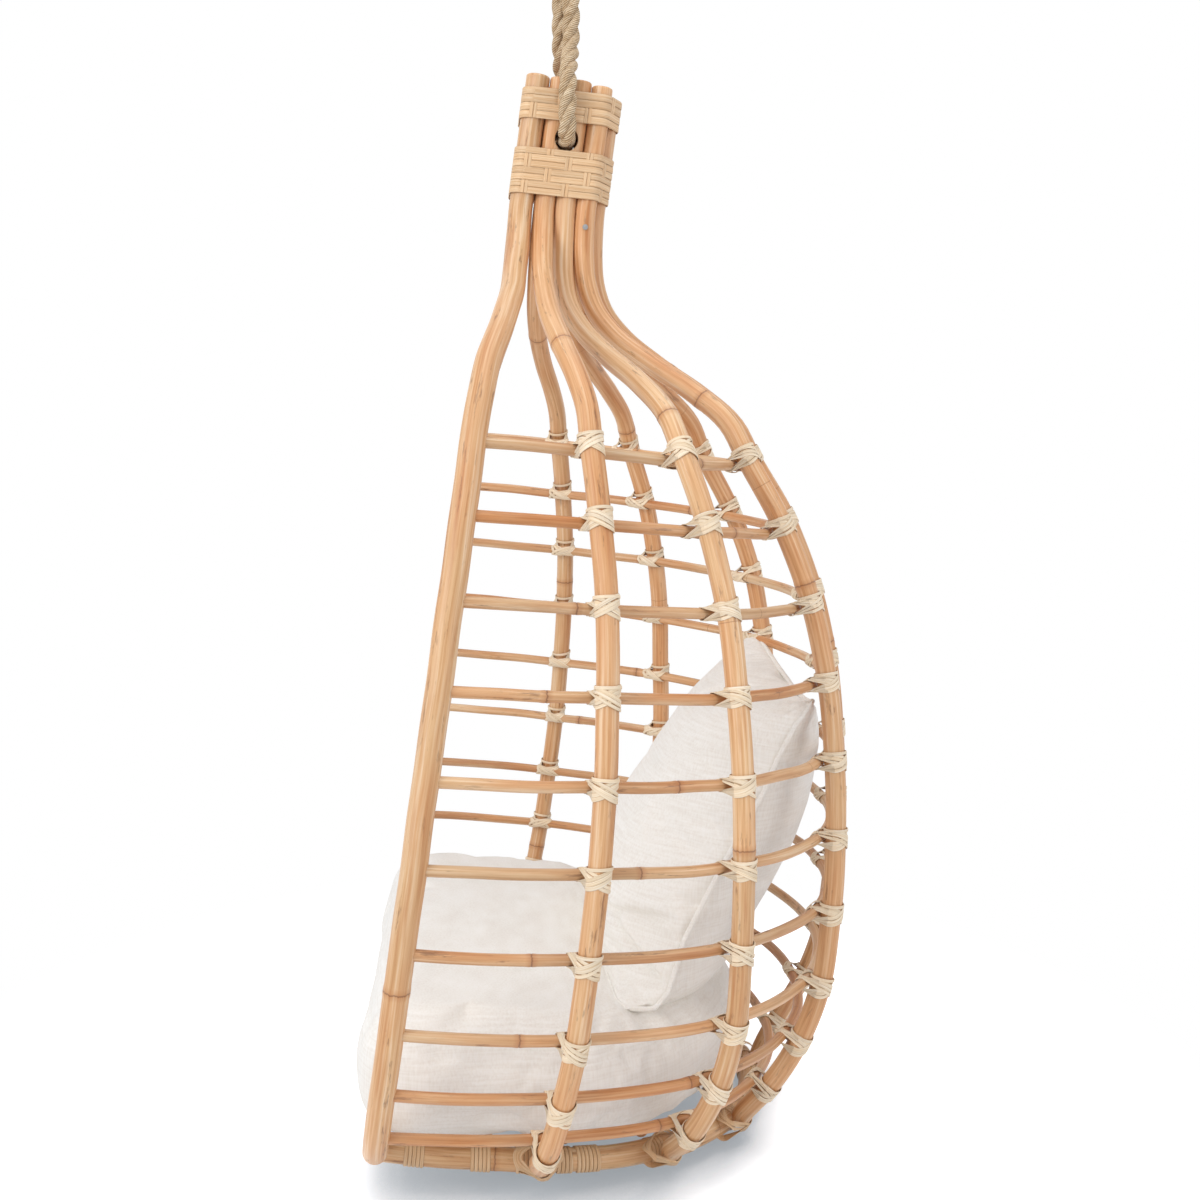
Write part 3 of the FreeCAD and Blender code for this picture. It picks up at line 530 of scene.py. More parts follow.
def peeledRattan(name, pale, red, deep, scar):
    # peeled rattan pole, clear varnished: long fibres 2 mm wide, blotches as long as a hand, brown growth rings
    material, tree, shader = newMaterial(name)
    grain = mark(tree, "grain", "Vector")
    ring = mark(tree, "ringGap", "Fac")
    growth = mark(tree, "growth", "Fac")
    tint = mark(tree, "tint", "Fac")
    endGap = mark(tree, "endGap", "Fac")
    fibre = stretched(tree, grain, (1, 1, 0.022))
    streaks = noise(tree, fibre, 280.0, 5.0, 0.62)
    hairs = noise(tree, fibre, 1100.0, 3.0)
    longer = stretched(tree, grain, (1, 1, 0.16))
    blotches = noise(tree, longer, 42.0, 3.0)
    flecks = noise(tree, longer, 130.0, 4.0, 0.7)
    worn = stretched(tree, grain, (1, 1, 0.07))
    bruises = noise(tree, worn, 75.0, 5.0, 0.6)
    places = (0.30, 0.50, 0.70)
    drift = spread(tree, blotches, 0.3, 0.7, -0.45, 0.45)
    hue = computed(tree, "ADD", tint, drift, clamp=True)
    base = blended(tree, hue, ramp(tree, streaks, places, pale), ramp(tree, streaks, places, red))
    value = spread(tree, growth, 0.0, 1.0, 0.92, 1.06)
    toned = add(tree, "HueSaturation", {}, {"Value": value, "Color": base}).outputs[0]
    spot = spread(tree, flecks, 0.60, 0.70, 0.0, 0.6)
    bruise = spread(tree, bruises, 0.53, 0.69, 0.0, 0.62)
    bruised = blended(tree, bruise, toned, deep)
    spotted = blended(tree, spot, bruised, scar)
    wander = spread(tree, streaks, 0.2, 0.8, -0.0014, 0.0014)
    gap = computed(tree, "ADD", ring, wander)
    nearRing = computed(tree, "ABSOLUTE", gap)
    band = spread(tree, nearRing, 0.001, 0.007, 0.45, 0.0)
    seam = spread(tree, nearRing, 0.0003, 0.0013, 0.6, 0.0)
    banded = blended(tree, band, spotted, deep)
    seamed = blended(tree, seam, banded, scar)
    cut = spread(tree, endGap, 0.0, 0.0012, 0.45, 0.0)
    ended = blended(tree, cut, seamed, deep)
    rough = spread(tree, blotches, 0.3, 0.7, 0.40, 0.56)
    fill(tree, shader, {"Base Color": ended, "Roughness": rough, "Coat Weight": 0.18, "Coat Roughness": 0.32})
    raised(tree, shader, computed(tree, "MULTIPLY_ADD", streaks, 0.7, hairs), 0.35, 0.0005)
    return material


def splitCane(name, tones, edgeTone, edgeShare):
    # split cane, raw and pale: fine lines along the strip, brown where its edges shade it
    material, tree, shader = newMaterial(name)
    grain = mark(tree, "grain", "Vector")
    growth = mark(tree, "growth", "Fac")
    lines = stretched(tree, grain, (9.0, 0.4, 16.0))
    fibres = noise(tree, lines, 1.0, 4.0, 0.6)
    base = ramp(tree, fibres, (0.28, 0.48, 0.72), tones)
    value = spread(tree, growth, 0.0, 1.0, 0.90, 1.04)
    toned = add(tree, "HueSaturation", {}, {"Value": value, "Color": base}).outputs[0]
    across = add(tree, "SeparateXYZ", {}, {0: grain}).outputs[0]
    edge = spread(tree, computed(tree, "ABSOLUTE", across), 0.41, 0.5, 0.0, edgeShare)
    fill(tree, shader, {"Base Color": blended(tree, edge, toned, edgeTone), "Roughness": 0.52})
    raised(tree, shader, fibres, 0.3, 0.0003)
    return material


def washedCotton(name, weave):
    # washed cotton canvas: threads 0.6 mm apart are too fine to show, so slubs 2 to 3 mm apart stand for them
    material, tree, shader = newMaterial(name)
    place = add(tree, "TexCoord").outputs["Object"]
    level = stretched(tree, place, (0.05, 0.05, 1.0))
    upright = stretched(tree, place, (1.0, 1.0, 0.05))
    cloth = computed(tree, "ADD", noise(tree, level, weave["slubs"], 3.0), noise(tree, upright, weave["slubs"], 3.0))
    base = ramp(tree, computed(tree, "MULTIPLY", cloth, 0.5), (0.36, 0.5, 0.64), ("#E9E3DA", "#F0ECE4", "#F5F2EC"))
    warm = spread(tree, noise(tree, place, 9.0, 2.0), 0.35, 0.7, 0.0, 0.2)
    toned = blended(tree, warm, base, "#ECE3D8")
    fill(tree, shader, {"Base Color": toned, "Roughness": 0.92, "Sheen Weight": 0.12, "Sheen Roughness": 0.5})
    raised(tree, shader, cloth, weave["strength"], 0.0008)
    return material


def hempLay(name, tones, yarns):
    # laid hemp: each strand shows its own yarns as slanted ridges, with painted shade in the grooves between them and
    # their crests a little paler, and paler fibres
    material, tree, shader = newMaterial(name)
    grain = mark(tree, "grain", "Vector")
    split = add(tree, "SeparateXYZ", {}, {0: grain}).outputs
    turns = computed(tree, "MULTIPLY", computed(tree, "ARCTAN2", split[1], split[0]), float(yarns))
    wave = computed(tree, "COSINE", turns)
    long = stretched(tree, grain, (1.0, 1.0, 0.12))
    fibres = noise(tree, long, 1500.0, 4.0, 0.7)
    mottle = noise(tree, grain, 160.0, 3.0)
    mixed = computed(tree, "MULTIPLY_ADD", wave, 0.13, fibres)
    both = computed(tree, "MULTIPLY_ADD", mottle, 0.5, mixed)
    # painted shade: the grooves between the yarns are darkened towards a deep brown
    grooveShade = spread(tree, wave, -1.0, -0.35, 0.6, 0.0)
    grooved = blended(tree, grooveShade, ramp(tree, both, (0.52, 0.72, 0.92), tones), "#6A4E30")
    fill(tree, shader, {"Base Color": grooved, "Roughness": 0.95})
    raised(tree, shader, mixed, 0.9, 0.0011)
    return material


def zincPlate(name, colour, rough):
    # hot-dip galvanised steel: grey spangle a few mm across, soft shine, rougher in cloudy patches
    material, tree, shader = newMaterial(name)
    place = add(tree, "TexCoord").outputs["Object"]
    spangle = add(tree, "TexVoronoi", {}, {"Vector": place, "Scale": 260.0}).outputs["Color"]
    cloud = noise(tree, place, 90.0, 4.0)
    flake = add(tree, "SeparateXYZ", {}, {0: spangle}).outputs[0]
    tone = spread(tree, flake, 0.0, 1.0, 0.88, 1.08)
    base = add(tree, "HueSaturation", {}, {"Value": tone, "Color": colour}).outputs[0]
    roughness = spread(tree, cloud, 0.3, 0.7, rough, rough + 0.16)
    fill(tree, shader, {"Base Color": base, "Metallic": 1.0, "Roughness": roughness})
    raised(tree, shader, cloud, 0.15, 0.0002)
    return material


thickRattan = peeledRattan("peeled rattan pole", ("#C99763", "#E0B686", "#EFD5B2"), ("#BF7B43", "#D69B67", "#E6B98C"),
                           "#B5733F", "#6E4223")
thinRattan = peeledRattan("peeled rattan cane", ("#C4986A", "#D9B286", "#E9CFAC"), ("#B26F3A", "#CA8A54", "#DDAA7A"),
                          "#A8683A", "#63391E")
cane = splitCane("split cane", ("#D6B588", "#F0DAB9", "#FBF0DE"), "#A8845A", 0.5)
# a darker, warmer copy of the split cane for the head's bands and the base wraps; its deeper edge tone paints stronger
# shade where the strips meet
bandCane = splitCane("darker split cane", ("#CC9E6B", "#E3BC90", "#F0D6B0"), "#8E683F", 0.5)
cotton = washedCotton("washed cotton canvas", {"slubs": 420.0, "strength": 0.25})
piping = washedCotton("cotton piping", {"slubs": 700.0, "strength": 0.4})
hemp = hempLay("laid hemp rope", ("#94764F", "#CCAB82", "#F2DEBE"), 11)
twine = hempLay("hemp twine", ("#94764F", "#C6A67C", "#EAD6B4"), 2)
zinc = zincPlate("galvanised steel", "#A6A8AA", 0.38)
groundSteel = zincPlate("ground bearing steel", "#B4B5B7", 0.22)
print("materials made")


# ---- poles

def sided(node):
    return (mirrored, -1) if "left" in node else (asDrawn, 1)


def drill(piece, sides=40):
    # the rope's hole: a cylinder along X taken out of the pole
    turn, (y, z) = circle(sides), head["hole"]
    ring = np.stack([0 * turn, y + head["holeRadius"] * np.cos(turn), z + head["holeRadius"] * np.sin(turn)], -1)
    bit = bpy.data.meshes.new("rope hole")
    ends = np.vstack([ring - head["holeReach"], ring + head["holeReach"]])
    bit.from_pydata(hung(ends).tolist(), [], gridFaces(2, sides))
    bit.materials.append(piece.data.materials[0])
    tool = newObject("rope hole", bit)
    cut = piece.modifiers.new("hole", "BOOLEAN")
    cut.operation, cut.solver, cut.object = "DIFFERENCE", "EXACT", tool
    pierced = evaluated(piece)
    piece.modifiers.clear()
    piece.data = pierced
    pierced.set_sharp_from_angle(angle=math.radians(40))
    bpy.data.objects.remove(tool)


ringPlaces = {  # arc lengths of growth rings that the photograph shows, from the foot or the right-hand end
    "rib_right_1": (1010,), "rib_right_2": (443, 917), "rib_right_3": (700, 950), "front_hoop": (1129, 1960, 2780),
    "cross_hoop_05": (261, 700, 1120), "cross_hoop_06": (231, 790, 1240), "cross_hoop_07": (129, 610, 1080),
    "cross_hoop_08": (129, 560, 1010),
}
# left 2, left 3, the back rib and the two lowest hoops get the ruddiest, darkest tints: painted shade for where they
# lie in the chair's shade, on top of tone that really differs from pole to pole
tints = {  # 0 is the palest tan and 1 the ruddiest
    "rib_right_1": 0.62, "rib_right_2": 0.30, "rib_right_3": 0.60, "front_hoop": 0.38, "back_rib": 0.75,
    "rib_left_1": 0.55, "rib_left_2": 0.8, "rib_left_3": 0.9, "base_hoop": 0.15,
    "cross_hoop_01": 0.1, "cross_hoop_02": 0.75, "cross_hoop_03": 0.25, "cross_hoop_04": 0.6, "cross_hoop_05": 0.35,
    "cross_hoop_06": 0.25, "cross_hoop_07": 0.55, "cross_hoop_08": 0.45, "cross_hoop_09": 0.9, "cross_hoop_10": 0.85,
}
ribs = [(f"{side}_{n}", n) for side in ("right", "left") for n in (1, 2, 3)] + [("back", "back")]
for seed, (rib, pole) in enumerate(ribs, 100):
    node = "back_rib" if rib == "back" else "rib_" + rib
    flip, sign = sided(node)
    line = smoothLine(flip(ribPoint(pole, ribStations(pole))))
    line = line[line[:, 2] > poles["footCut"]]
    turn = math.radians(float(throughRows(egg["turns"][pole], 400, 1)))
    surface = poleSurface(line, (math.cos(turn), -sign * math.sin(turn), 0), poles["rib"], seed,
                          ringPlaces.get(node), crooked=0.5, tint=tints[node], sawn=("end",))
    piece = addPiece(node + "_pole", surface, thickRattan, [node])
    if pole in (1, 2):
        drill(piece)
frontHoop = poleSurface(smoothLine(rimCorners()), (0, 1, 0), poles["rim"], 31, ringPlaces["front_hoop"], sides=26,
                        crooked=0.5, tint=tints["front_hoop"], sawn=("start", "end"))
addPiece("front_hoop_pole", frontHoop, thickRattan, ["front_hoop"])
for number, height in enumerate(egg["hoopHeights"], 1):
    node = f"cross_hoop_{number:02d}"
    surface = poleSurface(smoothLine(hoopCorners(height)), (0, 0, 1), poles["hoop"], 200 + number,
                          ringPlaces.get(node), sides=16, step=12.0, tint=tints[node])
    addPiece(node + "_pole", surface, thinRattan, [node])
baseLine = smoothLine(baseCorners())
baseHoop = poleSurface(baseLine, (0, 0, 1), poles["base"], 41, sides=26, crooked=0.4, tint=tints["base_hoop"])
addPiece("base_hoop_pole", baseHoop, thickRattan, ["base_hoop"])
rightBase = baseLine[:len(baseLine) // 2 + 1]


def basePlace(y):
    # point and direction of the base hoop's right side at a place along Y, and its arc length
    run = lengths(rightBase)
    s = float(np.interp(y, rightBase[:, 1], run))
    point, direction = placed(rightBase, np.array([s]))
    return point[0], direction[0], s


seat = {
    "slats": (-8, 65, 155, 246, 345), "slatStop": 5.0, "bottom": 33.5, "front": -94.0, "back": 392.0, "half": 322.0,
    "layers": [(0, 40), (5, 20), (17, 7), (38, 1), (66, 0), (98, 0), (118, 4), (130, 12), (136.5, 24), (139.5, 50),
               (140.7, 110), (141, 180)],
    "bow": 10, "corner": 58.0, "cornerFade": 230.0, "bend": 118.0, "bendShift": 0.2, "shrink": 5.0,
    "voxel": 7.0, "cap": 10.0, "pressure": 3.0, "fill": 0.75,
    "dent": {"deep": 0.014, "half": 0.252, "soft": 0.014, "front": 0.048, "from": -1.46, "over": 0.04},
}
for number, y in enumerate(seat["slats"], 1):
    point, _, _ = basePlace(y)
    height, reach = point[2] + poles["base"] + poles["slat"] + poles["gap"], point[0] - seat["slatStop"]
    line = np.array([[-reach, y, height], [0, y, height], [reach, y, height]], float)
    addPiece(f"seat_slat_{number}_pole", poleSurface(line, (0, 0, 1), poles["slat"], 60 + number, sides=16),
             thinRattan, [f"seat_slat_{number}"])


def coreLine(name, low, high):
    atLow, atHigh = head["cores"][name]
    heights = np.array([low, (low + high) / 2, high])
    y = atLow + (atHigh - atLow) * (heights - head["low"]) / (head["high"] - head["low"])
    return np.stack([0 * y, y, heights], -1)


coreLow, coreHigh, holeAt = head["coreBottom"], head["coreTop"], head["hole"][1]
for node, name, low, high in (("head_core_front", "front", coreLow, coreHigh),
                              ("head_core_back", "back", coreLow, coreHigh),
                              ("head_core_middle_lower", "middle", coreLow, holeAt - head["coreGap"]),
                              ("head_core_middle_upper", "middle", holeAt + head["coreGap"], coreHigh)):
    surface = poleSurface(coreLine(name, low, high), (1, 0, 0), head["coreRadius"], len(node), sides=18, crooked=0.0)
    addPiece(node + "_pole", surface, thickRattan, [node])
print("poles made")


# ---- cane lashings

lash = {
    "width": 4.2, "thick": 0.8, "climb": 29.0, "climbSpread": 2.5, "fan": (5.9, 1.5, -2.9), "fanSpread": 0.35,
    "climbEach": 1.2, "widths": (0.88, 1.1), "rib": 0.25, "over": 0.85, "places": 28,
    "turnAt": 10.6, "turnLift": 1.1, "turnWidth": 0.9, "turnTilt": 1.3,
}


def crossStrips(here, rise, inward, along, radii, apart, chance):
    # each strip is the taut line round both poles in a plane slanted to them: the support curve of two ellipses
    here, rise, inward, along = (v[:, None, None] for v in (here, rise, inward, along))
    along = unit(along - (along * inward).sum(-1, keepdims=True) * inward)
    apart = np.asarray(apart, float).reshape(-1, 1, 1, 1)
    hoop = here + inward * apart
    count, strips = len(here), 2 * len(lash["fan"])
    way = np.where(np.arange(strips) < strips // 2, 1.0, -1.0)[None, :, None, None]
    climb = np.radians(lash["climb"] + chance.normal(0, lash["climbSpread"], (count, 1, 1, 1))
                       + chance.normal(0, lash["climbEach"], (count, strips, 1, 1)))
    handed = np.where(chance.uniform(0, 1, (count, 1, 1, 1)) < 0.5, 1.0, -1.0)
    offset = way * handed * (np.tile(lash["fan"], 2)[None, :, None, None]
                             + chance.normal(0, lash["fanSpread"], (count, strips, 1, 1)))
    slant = unit(np.cos(climb) * along + way * handed * np.sin(climb) * rise)
    theta = (np.arange(lash["places"]) / lash["places"] * 2 * math.pi)[None, None, :, None]
    lift = lash["rib"] + np.where(way > 0, 0.0, lash["over"]) * (1 - abs(np.cos(theta))**3)
    ribHalf = 1 / np.linalg.norm(np.cross(slant, np.broadcast_to(rise, slant.shape)), axis=-1, keepdims=True)
    hoopHalf = 1 / np.linalg.norm(np.cross(slant, np.broadcast_to(along, slant.shape)), axis=-1, keepdims=True)
    ribR, hoopR = radii[0] + lift, radii[1] + lift
    cos, sin = np.cos(theta), np.sin(theta)
    ribReach = np.sqrt((ribR * ribHalf * cos)**2 + (ribR * sin)**2)
    hoopReach = np.sqrt((hoopR * hoopHalf * cos)**2 + (hoopR * sin)**2)
    onRib = ribReach >= apart * sin + hoopReach
    acrossPlane = np.where(onRib, (ribR * ribHalf)**2 * cos / ribReach, (hoopR * hoopHalf)**2 * cos / hoopReach)
    inPlane = np.where(onRib, ribR**2 * sin / ribReach, apart + hoopR**2 * sin / hoopReach)
    points = here + acrossPlane * slant + inPlane * inward
    shift = unit(np.cross(slant, np.broadcast_to(inward, slant.shape)))
    shift = shift * np.sign((shift * rise).sum(-1, keepdims=True))
    points = points + shift * offset
    toRib, toHoop = points - here, points - hoop
    ribAxial, hoopAxial = (toRib * rise).sum(-1, keepdims=True) * rise, (toHoop * along).sum(-1, keepdims=True) * along
    ribOut, hoopOut = unit(toRib - ribAxial), unit(toHoop - hoopAxial)
    points = np.where(onRib, here + ribAxial + ribOut * ribR, hoop + hoopAxial + hoopOut * hoopR)
    normals = np.where(onRib, ribOut, hoopOut)
    return ribbon(points.reshape(-1, lash["places"], 3), normals.reshape(-1, lash["places"], 3),
                  lash["width"] * chance.uniform(*lash["widths"], (count * strips, 1)), lash["thick"], chance)


def crossLashings(pole, flip, seed):
    chance = np.random.default_rng(seed)
    heights = egg["hoopHeights"]
    found = [crossing(pole, height) for height in heights]
    here, rise, inward = (flip(np.array([f[i] for f in found])) for i in range(3))
    place = 4 if pole == "back" else pole
    along = flip(np.array([arcTangents(hoopCorners(height))[place] for height in heights]))
    apart = poles["rib"] + poles["hoop"] + poles["gap"]
    crossed = crossStrips(here, rise, inward, along, (poles["rib"], poles["hoop"]), np.full(len(here), apart), chance)
    # one level turn round the rib, just over the hoop
    theta = (np.arange(lash["places"]) / lash["places"] * 2 * math.pi)[None, :, None]
    ring = np.cos(theta) * np.cross(rise, inward)[:, None] + np.sin(theta) * inward[:, None]
    tilt = chance.normal(0, lash["turnTilt"], (len(here), 1, 1))
    tilt = tilt * np.cos(theta + chance.uniform(0, 6, (len(here), 1, 1)))
    level = here[:, None] + ring * (poles["rib"] + lash["turnLift"]) + rise[:, None] * (lash["turnAt"] + tilt)
    turn = ribbon(level, ring, lash["width"] * lash["turnWidth"], lash["thick"], chance)
    return joined([crossed, turn])


for seed, (rib, pole) in enumerate(ribs, 300):
    node = "lashings_" + rib
    addPiece(node + "_cane", crossLashings(pole, sided(node)[0], seed), cane, [node], sharp=35)


wraps = {"pitch": 4.5, "width": 4.3, "thick": 0.9, "lift": 0.25, "perTurn": 22,
         "plain": [(-12, 22), (63, 24), (182, 26)], "footGap": 13.5, "footTurns": 4, "footSpan": 8.0}


def helixOn(line, start, length, radius, flip, chance):
    # strip wound on a pole: radius turned evenly about the pole while it moves on by the pitch
    turns = max(1, round(length / wraps["pitch"]))
    count = turns * wraps["perTurn"] + 1
    t = np.linspace(0, turns, count)
    points, tangents = placed(line, start + t * wraps["pitch"])
    side, up = crossFrame(tangents, np.array([0.0, 0.0, 1.0]))
    angle = (t * 2 * math.pi)[:, None]
    out = np.cos(angle) * side + np.sin(angle) * up
    turned = flip(points + out * (radius + wraps["lift"]))
    return ribbon(turned[None], flip(out)[None], wraps["width"], wraps["thick"], chance, closed=False)


chance = np.random.default_rng(17)
baseStrips = []
footRun = wraps["footTurns"] * wraps["pitch"]
for flip in (asDrawn, mirrored):
    for y, length in wraps["plain"]:
        s = basePlace(y)[2]
        baseStrips.append(helixOn(rightBase, s - length / 2, length, poles["base"], flip, chance))
    for pole in (1, 2, 3):
        s = basePlace(float(ribPoint(pole, egg["baseHeight"])[1]))[2]
        for start in (-wraps["footGap"] - footRun, wraps["footGap"]):
            baseStrips.append(helixOn(rightBase, s + start, footRun, poles["base"], flip, chance))
wholeRun = lengths(baseLine)[-1] / 2
for start in (-wraps["footGap"] - footRun, wraps["footGap"]):
    baseStrips.append(helixOn(baseLine, wholeRun + start, footRun, poles["base"], asDrawn, chance))
feet = []  # crossed strips that tie each rib's foot to the base hoop: rib's point and rise, hoop's point and direction
for flip in (asDrawn, mirrored):
    for pole in (1, 2, 3, "back") if flip is asDrawn else (1, 2, 3):
        foot = flip(ribPoint(pole, np.array([-wraps["footSpan"], wraps["footSpan"]])))
        i = int(np.argmin(np.linalg.norm(baseLine - foot.mean(0), axis=1)))
        feet.append([foot.mean(0), unit(foot[1] - foot[0]), baseLine[i], unit(baseLine[i + 1] - baseLine[i - 1])])
here, rise, hoopAt, along = (np.array([foot[i] for foot in feet]) for i in range(4))
toHoop = hoopAt - here
toHoop = toHoop - (toHoop * rise).sum(1, keepdims=True) * rise
apart = np.linalg.norm(toHoop, axis=1)
baseStrips.append(crossStrips(here, rise, unit(toHoop), along, (poles["rib"], poles["base"]), apart, chance))
addPiece("base_lashings_cane", joined(baseStrips), bandCane, ["base_lashings"], sharp=35)
print("lashings made")


# ---- woven bands of the head

bands = {
    "lower": {"span": (1088.0, 1142.0), "strips": 7, "pairs": 13, "seed": 5},
    "upper": {"span": (1175.0, 1211.0), "strips": 4, "pairs": 10, "seed": 6},
    "inside": 12.9, "sideOut": 0.1, "frontOut": 1.6, "thick": 0.9, "low": 0.15, "out": 1.1, "places": 220,
    "fullness": 0.985, "dipReach": 5.5, "pairWander": 0.12, "pairHalf": 2.3, "pairWidth": 4.3, "pairLow": -0.3,
    "pairRise": 1.4, "trim": 0.5,
}


def bandOutline(height):
    # round polygon about the poles of the head: the corner furthest along each normal, plus the radius
    half = head["x"] + bands["sideOut"]
    front, side, back = headY("rim", height) - bands["frontOut"], headY(3, height), headY("back", height)
    corners = np.array([[-half, front], [half, front], [half, side], [0, back], [-half, side]])
    angle = circle(720)
    normal = np.stack([np.cos(angle), np.sin(angle)], -1)
    far = corners[np.argmax(normal @ corners.T, axis=1)]
    ring = np.vstack([far + normal * bands["inside"], (far + normal * bands["inside"])[:1]])
    run = lengths(ring)
    at = np.linspace(0, run[-1], bands["places"], endpoint=False)
    normals = unit(sampled(at, run, np.vstack([normal, normal[:1]])))
    flat = np.zeros(len(at))
    return np.column_stack([sampled(at, run, ring), flat + height]), np.column_stack([normals, flat]), run[-1]


def wovenBand(band):
    # level strips dip under the upright pairs that cross them, in steps of two, and stand out between
    chance = np.random.default_rng(band["seed"])
    low, high = band["span"]
    pitch = (high - low) / band["strips"]
    t = np.arange(bands["places"]) / bands["places"]
    wander = chance.uniform(-bands["pairWander"], bands["pairWander"], band["pairs"])
    pairAt = (np.arange(band["pairs"]) + wander) / band["pairs"]
    level, rings = [], []
    for j in range(band["strips"]):
        ring, normals, around = bandOutline(low + pitch * (j + 0.5))
        over = np.array([(j + 2 * k) % 4 < 2 for k in range(band["pairs"])])
        gap = abs((t[:, None] - pairAt + 0.5) % 1 - 0.5) * around
        dip = (np.exp(-(gap / bands["dipReach"])**4) * over).sum(1)
        reach = bands["low"] + bands["out"] * (1 - np.clip(dip, 0, 1))
        level.append(ring + normals * reach[:, None])
        rings.append(normals)
    strips = ribbon(np.array(level), np.array(rings), pitch * bands["fullness"], bands["thick"], chance)
    heights = np.linspace(low + bands["trim"], high - bands["trim"], 40)
    uprights, outs = [], []
    outlines = [bandOutline(h) for h in heights]
    for k in range(band["pairs"]):
        for shift in (-bands["pairHalf"], bands["pairHalf"]):
            i = int(round((pairAt[k] * around + shift) / around * bands["places"])) % bands["places"]
            spine = np.array([ring[i] for ring, _, _ in outlines])
            out = np.array([normals[i] for _, normals, _ in outlines])
            j = np.clip(((heights - low) / pitch).astype(int), 0, band["strips"] - 1)
            over = ((j + 2 * k) % 4 < 2).astype(float)
            over = np.convolve(np.pad(over, 2, mode="edge"), np.ones(5) / 5, mode="valid")
            uprights.append(spine + out * (bands["pairLow"] + bands["pairRise"] * over)[:, None])
            outs.append(out)
    pairs = ribbon(np.array(uprights), np.array(outs), bands["pairWidth"], bands["thick"], chance, closed=False)
    return joined([strips, pairs])


for name in ("lower", "upper"):
    node = f"head_band_{name}"
    addPiece(node + "_cane", wovenBand(bands[name]), bandCane, [node], sharp=35)
print("bands made")


# ---- rope, seizing and metal, in the hanging frame

rope = {
    "radius": 11.0, "legX": 11.3, "legTurn": 30.0, "strand": 5.5, "strandOut": 5.3, "lay": 72.0, "yarnTwist": 26.0,
    "eyeZ": -142.6, "eyeTop": 22.3, "eyeBend": 25.0, "eyeCorners": (2.25, 60.75, 119.25, 177.75), "eyeHalfStep": 29.25,
    "legs": (-186, -212, -250), "ends": (-211.5, -213.5), "leave": 110, "side": 71, "turnIn": 36, "sideX": 50.0,
}
seizing = {"span": (-230.0, -199.5), "turns": 11, "twine": 1.5, "inset": 1.6, "lift": 1.85, "yarnTwist": 7.0}
hole = hung(np.array([0.0, *head["hole"]])) * 1000


def legPoint(height, sign=1):
    turn = math.radians(rope["legTurn"])
    return [sign * rope["legX"] * math.cos(turn), sign * rope["legX"] * math.sin(turn), height]


def ropeCorners():
    # the corners of the rope's route, with points on its longer straight runs
    reach = rope["eyeBend"] / math.cos(math.radians(rope["eyeHalfStep"]))
    middle = rope["eyeZ"] + rope["eyeTop"] - rope["eyeBend"]
    bow = [[reach * math.cos(math.radians(a)), 0, middle + reach * math.sin(math.radians(a))]
           for a in rope["eyeCorners"]]
    _, y, z = hole
    leave, side, turnIn, x = z + rope["leave"], z + rope["side"], z + rope["turnIn"], rope["sideX"]
    down = [legPoint(height, -1) for height in (*rope["legs"], leave)]
    down += [[-x, 0, side], [-x, y, turnIn], [-x, y, z], [-6, y, z]]
    up = [[6, y, z], [x, y, z], [x, y, turnIn], [x, 0, side], legPoint(leave), legPoint(rope["legs"][-1])]
    first, last = rope["ends"]
    return np.array([legPoint(first), legPoint(rope["legs"][0])] + bow + down + up + [legPoint(last)])


corners = ropeCorners()
curve = bpy.data.curves.new("rope route", "CURVE")
curve.dimensions = "3D"
spline = curve.splines.new("NURBS")
spline.points.add(len(corners) - 1)
spline.points.foreach_set("co", np.column_stack([corners * 0.001, np.ones(len(corners))]).ravel())
spline.order_u = 3
spline.use_endpoint_u = True
curve.resolution_u = 16
route = newObject("rope route", curve)
ropeLine = meshPoints(evaluated(route)) * 1000
bpy.data.objects.remove(route)


def spun(line, side, up, radius, sides, stations, yarnTwist, start=0):
    # a round strand whose grain turns once about it every yarnTwist
    angle = circle(sides)[None, :, None]
    yarn = angle[..., 0] - stations[:, None] / yarnTwist * 2 * math.pi
    grain = 0.001 * np.stack([radius * np.cos(yarn), radius * np.sin(yarn), stations[:, None] + start + 0 * yarn], -1)
    return tube(line, side, up, radius, angle), gridFaces(len(stations), sides), {"grain": grain}


def laidStrands(line, count=3, sides=18, step=3.0):
    # each strand's middle circles the rope's line once a lay; its own yarns turn the other way
    total, radius = lengths(line)[-1], rope["strand"]
    stations = np.linspace(0, total, int(total / step))
    points, tangents = placed(line, stations)
    side, up = crossFrame(tangents, np.array([0.0, 1.0, 0.0]))
    parts = []
    for strand in range(count):
        turn = (stations / rope["lay"] * 2 * math.pi + strand * 2 * math.pi / count)[:, None]
        middle = points + rope["strandOut"] * (np.cos(turn) * side + np.sin(turn) * up)
        ahead = unit(np.gradient(middle, axis=0))
        across, over = crossFrame(ahead, np.array([0.0, 1.0, 0.0]))
        parts.append(spun(middle, across, over, radius, sides, stations, rope["yarnTwist"], strand * 311))
    return joined(parts)


ropePiece = addPiece("hanging_rope_strands", laidStrands(ropeLine), hemp, ["hanging_rope"],
                     upright=False, sharp=0)

